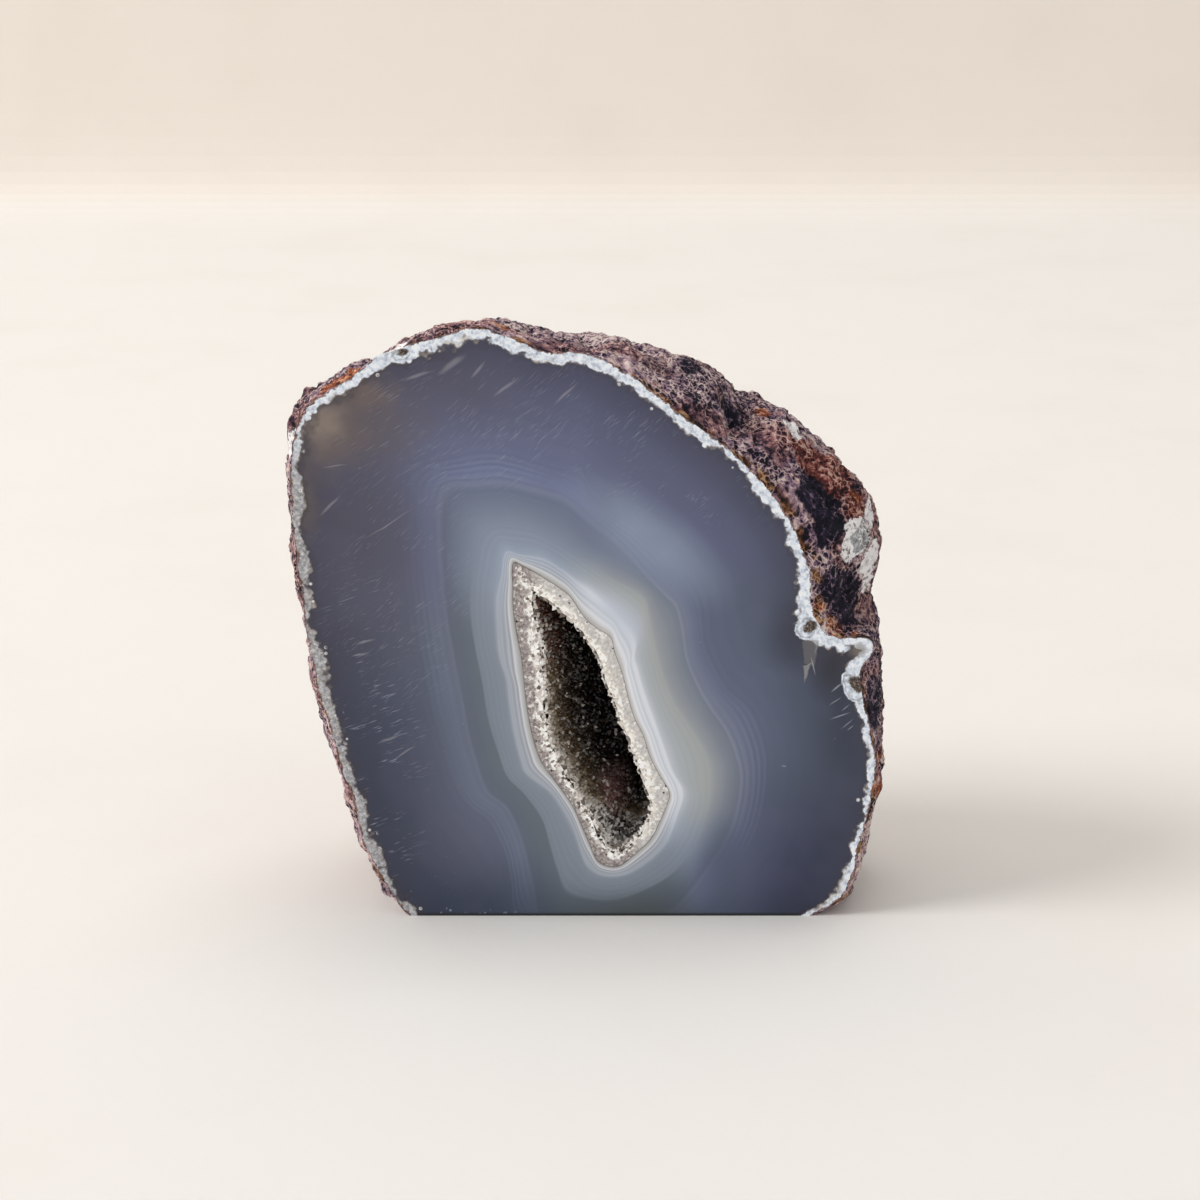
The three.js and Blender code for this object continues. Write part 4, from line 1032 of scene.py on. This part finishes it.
def roughRind():
    material, tree, shader = newMaterial("roughRind")
    place = inMillimetres(tree)
    behind = painted(tree, "behind")
    size = rindLook["grain"]
    # near the face the specks are drawn out along the rim
    wrapped = tree.nodes.new("ShaderNodeCombineXYZ")
    tree.links.new(sums(tree, "MULTIPLY", painted(tree, "along"), 0.42), wrapped.inputs["X"])
    tree.links.new(behind, wrapped.inputs["Y"])
    specks = clouds(tree, place, size, 6.0, 0.74)
    drawn = clouds(tree, wrapped.outputs[0], size * 0.8, 5.0, 0.72)
    broad = clouds(tree, place, 7.0, 3.0)
    nearFace = sums(tree, "MULTIPLY", rescale(tree, behind, 9, 3), rescale(tree, broad, 0.42, 0.55, 0.25, 0.7))
    height = blendValue(tree, nearFace, specks, drawn)
    # thin pale strands round dark hollows
    strands = cells(tree, shaken(tree, place, 1.2, 1.0), 0.85, feature="DISTANCE_TO_EDGE")
    netted = rescale(tree, clouds(tree, place, 4.0, 2.0), 0.44, 0.54, 0.15, 1.0)
    height = sums(tree, "ADD", height, sums(tree, "MULTIPLY", rescale(tree, strands, 0.16, 0.02, -0.05, 0.085), netted))
    # painted shade: small round holes are both dented and painted darker
    shadedHoles = cells(tree, shaken(tree, place, 0.8, 0.5), 1.15)
    number = splitColour(tree, cells(tree, place, 1.15, output="Color"))
    shadedHoles = sums(tree, "MULTIPLY", rescale(tree, shadedHoles, 0.34, 0.12), rescale(tree, number, 0.35, 0.5))
    height = sums(tree, "SUBTRACT", height, sums(tree, "MULTIPLY", shadedHoles, 0.13))
    # painted shade: the mesh's own dents are darker; and some places are darker or paler altogether
    height = sums(tree, "ADD", height, sums(tree, "MULTIPLY", painted(tree, "grain"), 0.03))
    height = sums(tree, "ADD", height, sums(tree, "MULTIPLY_ADD", broad, 0.2, -0.092))
    height = sums(tree, "ADD", height, sums(tree, "MULTIPLY_ADD", clouds(tree, place, 17.0, 2.0), 0.16, -0.08))
    crystals = clouds(tree, place, 1.1, 4.0, 0.7)
    # the colours follow the bump height, darker where low and paler where high: partly the rind's own speckle, partly
    # painted shade in its pits and painted highlight on its lumps
    kinds = {name: ramp(tree, crystals if name == "white" else height, [(at, srgb(*shade)) for at, shade in rindLook[name]])
             for name in ("ground", "night", "rust", "red", "plum", "seam", "white", "glassy")}
    torn = sums(tree, "MULTIPLY_ADD", clouds(tree, place, 3.0, 4.0, 0.6), 1.1, -0.55)
    warm = rescale(tree, clouds(tree, place, 3.6, 3.0), 0.5, 0.62)
    edge = sums(tree, "MULTIPLY", rescale(tree, behind, 1.5, 0.5), rescale(tree, clouds(tree, place, 2.2, 3.0), 0.45, 0.55))
    rust = sums(tree, "ADD", sums(tree, "ADD", painted(tree, "rust"), torn), sums(tree, "MULTIPLY_ADD", warm, 0.3, -0.1))
    plumPlaces = rescale(tree, clouds(tree, stretched(tree, place, move=(9, 4, 0)), 9.0, 3.0), 0.47, 0.6, 0, 0.85)
    colour = blendColour(tree, plumPlaces, kinds["ground"], kinds["plum"])
    night = sums(tree, "ADD", painted(tree, "dark"), torn)
    colour = blendColour(tree, rescale(tree, night, 0.25, 0.5), colour, kinds["night"])
    red = sums(tree, "ADD", painted(tree, "red"), torn)
    colour = blendColour(tree, rescale(tree, red, 0.25, 0.6), colour, kinds["red"])
    colour = blendColour(tree, rescale(tree, rust, 0.3, 0.8), colour, kinds["rust"])
    colour = blendColour(tree, edge, colour, kinds["seam"])
    pale = sums(tree, "ADD", painted(tree, "white"), sums(tree, "MULTIPLY_ADD", clouds(tree, place, 1.6, 5.0, 0.75), 1.8, -0.9))
    snow = rescale(tree, pale, 0.4, 0.52)
    colour = blendColour(tree, snow, colour, kinds["white"])
    # painted light: the white patches glow faintly in their own colour, though they are no lamp
    tree.links.new(sums(tree, "MULTIPLY", snow, rindLook["paintedGlow"]), shader.inputs["Emission Strength"])
    tree.links.new(kinds["white"], shader.inputs["Emission Color"])
    colour = blendColour(tree, rescale(tree, sums(tree, "ADD", painted(tree, "glassy"), torn), 0.3, 0.45), colour, kinds["glassy"])
    tree.links.new(colour, shader.inputs["Base Color"])
    shader.inputs["Roughness"].default_value = 0.7
    shader.inputs["Specular IOR Level"].default_value = 0.25
    bump = tree.nodes.new("ShaderNodeBump")
    bump.inputs["Strength"].default_value = 1.0
    bump.inputs["Distance"].default_value = 1.1 * mm
    tree.links.new(height, bump.inputs["Height"])
    tree.links.new(bump.outputs["Normal"], shader.inputs["Normal"])
    return material


def blendValue(tree, factor, first, second):
    node = tree.nodes.new("ShaderNodeMix")
    node.data_type = "FLOAT"
    for index, value in ((0, factor), (2, first), (3, second)):
        feed(tree, node.inputs[index], value)
    return node.outputs[0]


def sawnBase():
    material, tree, shader = newMaterial("sawnBase")
    place = inMillimetres(tree)
    marks = stretched(tree, place, scale=(0.08, 2.2, 1))
    colour = ramp(tree, clouds(tree, marks, 1.0, 3.0), [(0.3, srgb(84, 88, 100)), (0.7, srgb(122, 126, 138))])
    tree.links.new(colour, shader.inputs["Base Color"])
    shader.inputs["Roughness"].default_value = 0.55
    return material


quartzLook = {
    "bright": (250, 246, 241),
    "smoky": (92, 74, 54),
    "dark": (24, 20, 18),
    "brightDepth": (0.7, 1.3),  # mm of bright crystals behind the face, in the upper and the lower part: partly the crystals' own pale colour, partly painted light
}


def quartzPoints():
    material, tree, shader = newMaterial("quartzPoints")
    place = inMillimetres(tree)
    tint = painted(tree, "tint")
    behind = painted(tree, "behind")
    x, y, z = splitAxes(tree, place)
    # pale crystals near the face darken to near black deeper in: partly the smoky quartz's own colour, partly painted
    # shade of the deep hollow
    blotch = sums(tree, "MULTIPLY_ADD", clouds(tree, place, 2.6, 3.0), 2.4, -1.2)
    upper, lower = quartzLook["brightDepth"]
    reach = rescale(tree, z, 33, 40, lower, upper)
    # painted light: near the bottom the pale crystals reach up to 6 mm deeper, where light falls into the hollow
    reach = sums(tree, "ADD", reach, rescale(tree, z, 20, 13, 0.0, 6.0))
    depth = sums(tree, "SUBTRACT", sums(tree, "ADD", behind, blotch), reach)
    depth = sums(tree, "ADD", depth, sums(tree, "MULTIPLY_ADD", tint, 1.2, -0.6))
    soft = rescale(tree, z, 33, 40, 2.2, 0.7)
    bright = rescale(tree, depth, soft, sums(tree, "MULTIPLY", soft, -1.0))
    smoky = ramp(tree, rescale(tree, depth, 0, 12, smooth=False), [
        (0.0, srgb(150, 130, 100)), (0.25, srgb(*quartzLook["smoky"])), (0.6, srgb(40, 31, 26)), (1.0, srgb(*quartzLook["dark"]))])
    brown = ramp(tree, rescale(tree, depth, 0, 9, smooth=False), [(0.0, srgb(104, 68, 54)), (0.6, srgb(58, 38, 32)), (1.0, srgb(*quartzLook["dark"]))])
    smoky = blendColour(tree, rescale(tree, z, 37, 43), smoky, brown)
    whites = ramp(tree, tint, [(0.0, srgb(104, 92, 84)), (0.25, srgb(196, 184, 172)), (0.5, srgb(*quartzLook["bright"]))])
    colour = blendColour(tree, bright, smoky, whites)
    floorZone = sums(tree, "MULTIPLY", rescale(tree, z, 20, 14), rescale(tree, behind, 1.5, 4))
    greys = ramp(tree, tint, [(0.15, srgb(34, 32, 32)), (0.4, srgb(96, 91, 88)), (0.65, srgb(172, 168, 164)), (0.8, srgb(252, 252, 250))])
    colour = blendColour(tree, sums(tree, "MULTIPLY", floorZone, bright), colour, greys)
    mauve = sums(tree, "MULTIPLY", spotMask(tree, place, (3.2, 17.5), (4.4, 5.4), 0, 0.9), rescale(tree, behind, 3, 6))
    colour = blendColour(tree, sums(tree, "MULTIPLY", mauve, 0.75), colour, srgb(150, 108, 104))
    # every crystal a little different: some darker, some pale, and a few far back painted bright as glints (painted
    # highlights)
    darker = rescale(tree, tint, 0.26, 0.0, 0, 0.75)
    colour = blendColour(tree, darker, colour, srgb(70, 58, 50))
    paler = sums(tree, "MULTIPLY", rescale(tree, tint, 0.8, 0.95), rescale(tree, depth, 9, 0, 0.2, 0.8))
    colour = blendColour(tree, paler, colour, srgb(246, 240, 232))
    paintedGlint = rescale(tree, tint, 0.958, 0.966)
    colour = blendColour(tree, sums(tree, "MULTIPLY", paintedGlint, 0.9), colour, srgb(236, 228, 216))
    tree.links.new(colour, shader.inputs["Base Color"])
    shader.inputs["Roughness"].default_value = 0.08
    shader.inputs["IOR"].default_value = 1.54
    return material


def cutQuartz():
    material, tree, shader = newMaterial("cutQuartz")
    place = inMillimetres(tree)
    flat = stretched(tree, place, scale=(1, 0, 1))
    x, y, z = splitAxes(tree, place)
    inwards = painted(tree, "tint")
    # grey and mauve towards the left and the top, cream on the right and at the bottom
    rightOf = sums(tree, "ADD", x, sums(tree, "MULTIPLY_ADD", z, 0.354, -11.2))
    creamSide = rescale(tree, rightOf, -1.5, 1.5)
    facet = splitColour(tree, cells(tree, flat, 0.4, output="Color"))
    grain = clouds(tree, flat, 0.5, 4.0, 0.7)
    mauve = ramp(tree, grain, [(0.32, asSeen(92, 84, 84)), (0.5, asSeen(150, 139, 135)), (0.66, asSeen(196, 186, 181))])
    cream = ramp(tree, grain, [(0.3, asSeen(162, 154, 148)), (0.5, asSeen(194, 188, 183)), (0.68, asSeen(214, 210, 205))])
    colour = blendColour(tree, creamSide, mauve, cream)
    bright = ramp(tree, facet, [(0.05, asSeen(104, 94, 88)), (0.25, asSeen(178, 166, 158)), (0.55, asSeen(224, 217, 209)), (0.85, asSeen(252, 250, 246))])
    bright = blendColour(tree, creamSide, bright, ramp(tree, facet, [(0.05, asSeen(196, 187, 177)), (0.6, asSeen(232, 226, 216)), (0.9, asSeen(252, 249, 243))]))
    reach = sums(tree, "ADD", inwards, sums(tree, "MULTIPLY_ADD", clouds(tree, flat, 1.6, 3.0), 1.4, -0.7))
    colour = blendColour(tree, rescale(tree, reach, 0.35, 0.75), colour, bright)
    # painted highlights: a few facets of the cut rim are painted near white as sparkle
    paintedSparkle = rescale(tree, facet, 0.86, 0.9)
    colour = blendColour(tree, sums(tree, "MULTIPLY", paintedSparkle, 0.6), colour, asSeen(240, 236, 230))
    line = rescale(tree, sums(tree, "ADD", inwards, sums(tree, "MULTIPLY", grain, 0.1)), 0.125, 0.07)
    lineShare = rescale(tree, creamSide, 0, 1, 0.6, 0.12)
    colour = blendColour(tree, sums(tree, "MULTIPLY", line, lineShare), colour, asSeen(112, 108, 112))
    away = cells(tree, flat, 1.3)
    number = splitColour(tree, cells(tree, flat, 1.3, output="Color"))
    specks = sums(tree, "MULTIPLY", rescale(tree, away, 0.17, 0.11), rescale(tree, number, 0.45, 0.5))
    specks = sums(tree, "MULTIPLY", specks, rescale(tree, inwards, 0.45, 0.3))
    colour = blendColour(tree, specks, colour, asSeen(58, 54, 58))
    tree.links.new(colour, shader.inputs["Base Color"])
    shader.inputs["Roughness"].default_value = 0.2
    shader.inputs["IOR"].default_value = 1.54
    return material


# room and light

room = {
    "floorColour": srgb(232, 229, 225),
    "wallColour": srgb(244, 235, 224),
    "wallDistance": 0.66,
    "keyPower": 61.9,
    "topPower": 12.5,
    "skyStrength": 0.49,
}


def makeRoom():
    wall = room["wallDistance"]
    profile = [(-2.0, 0.0), (wall - 0.05, 0.0), (wall - 0.01, 0.003), (wall, 0.03), (wall, 0.2), (wall, 2.4)]
    width = 3.0
    points, faces = [], []
    for n, (y, z) in enumerate(profile):
        points += [(-width, y, z), (width, y, z)]
        if n:
            faces.append((2 * n - 2, 2 * n - 1, 2 * n + 1, 2 * n))
    mesh = bpy.data.meshes.new("paleFloor")
    mesh.from_pydata(points, [], faces)
    floor = bpy.data.objects.new("paleFloor", mesh)
    bpy.context.collection.objects.link(floor)
    rounding = floor.modifiers.new("rounding", "SUBSURF")
    rounding.levels = rounding.render_levels = 3
    material, tree, shader = newMaterial("palePlaster")
    place = inMillimetres(tree)
    shader.inputs["Roughness"].default_value = 0.85
    x, y, z = splitAxes(tree, place)
    plaster = blendColour(tree, rescale(tree, z, 2, 14), room["floorColour"], room["wallColour"])
    mottle = rescale(tree, clouds(tree, place, 60, 4.0), 0.45, 0.75, 0, 0.08)
    tree.links.new(blendColour(tree, mottle, plaster, srgb(206, 192, 176)), shader.inputs["Base Color"])
    bump = tree.nodes.new("ShaderNodeBump")
    bump.inputs["Strength"].default_value = 0.15
    bump.inputs["Distance"].default_value = 0.3 * mm
    tree.links.new(clouds(tree, place, 2.0, 4.0), bump.inputs["Height"])
    tree.links.new(bump.outputs["Normal"], shader.inputs["Normal"])
    mesh.materials.append(material)


def addLamp(name, place, aim, size, power, colour):
    lamp = bpy.data.lights.new(name, "AREA")
    lamp.shape = "DISK"
    lamp.size = size
    lamp.energy = power
    lamp.color = colour
    holder = bpy.data.objects.new(name, lamp)
    holder.location = place
    holder.rotation_euler = (Vector(aim) - Vector(place)).to_track_quat("-Z", "Y").to_euler()
    bpy.context.collection.objects.link(holder)


def makeLight():
    addLamp("windowLeft", (-2.475, -0.525, 2.0), (0, 0, 0.04), 1.65, room["keyPower"], (1.0, 0.99, 0.975))
    addLamp("softTop", (0.25, 0.5, 2.1), (0, 0, 0.05), 1.3, room["topPower"], (1.0, 0.995, 0.985))
    world = bpy.data.worlds.new("softDay")
    world.use_nodes = True
    world.node_tree.nodes["Background"].inputs["Color"].default_value = (0.975, 0.985, 1.0, 1)
    world.node_tree.nodes["Background"].inputs["Strength"].default_value = room["skyStrength"]
    bpy.context.scene.world = world
    bpy.context.scene.view_settings.view_transform = "Standard"


view = {"lens": 80, "pitch": 17, "distance": 0.393, "target": (1.55 * mm, -23 * mm, 50.8 * mm)}


def makeCamera():
    camera = bpy.data.cameras.new("camera")
    camera.lens = view["lens"]
    camera.sensor_width = 36
    camera.sensor_fit = "HORIZONTAL"
    camera.clip_start = 0.01
    holder = bpy.data.objects.new("camera", camera)
    pitch = math.radians(view["pitch"])
    look = Vector((0, math.cos(pitch), -math.sin(pitch)))
    holder.location = Vector(view["target"]) - view["distance"] * look
    holder.rotation_euler = (math.pi / 2 - pitch, 0, 0)
    bpy.context.collection.objects.link(holder)
    bpy.context.scene.camera = holder


makeCamera()
makeStone()
makeCrust()
makeRoom()
makeLight()
print("scene ready")
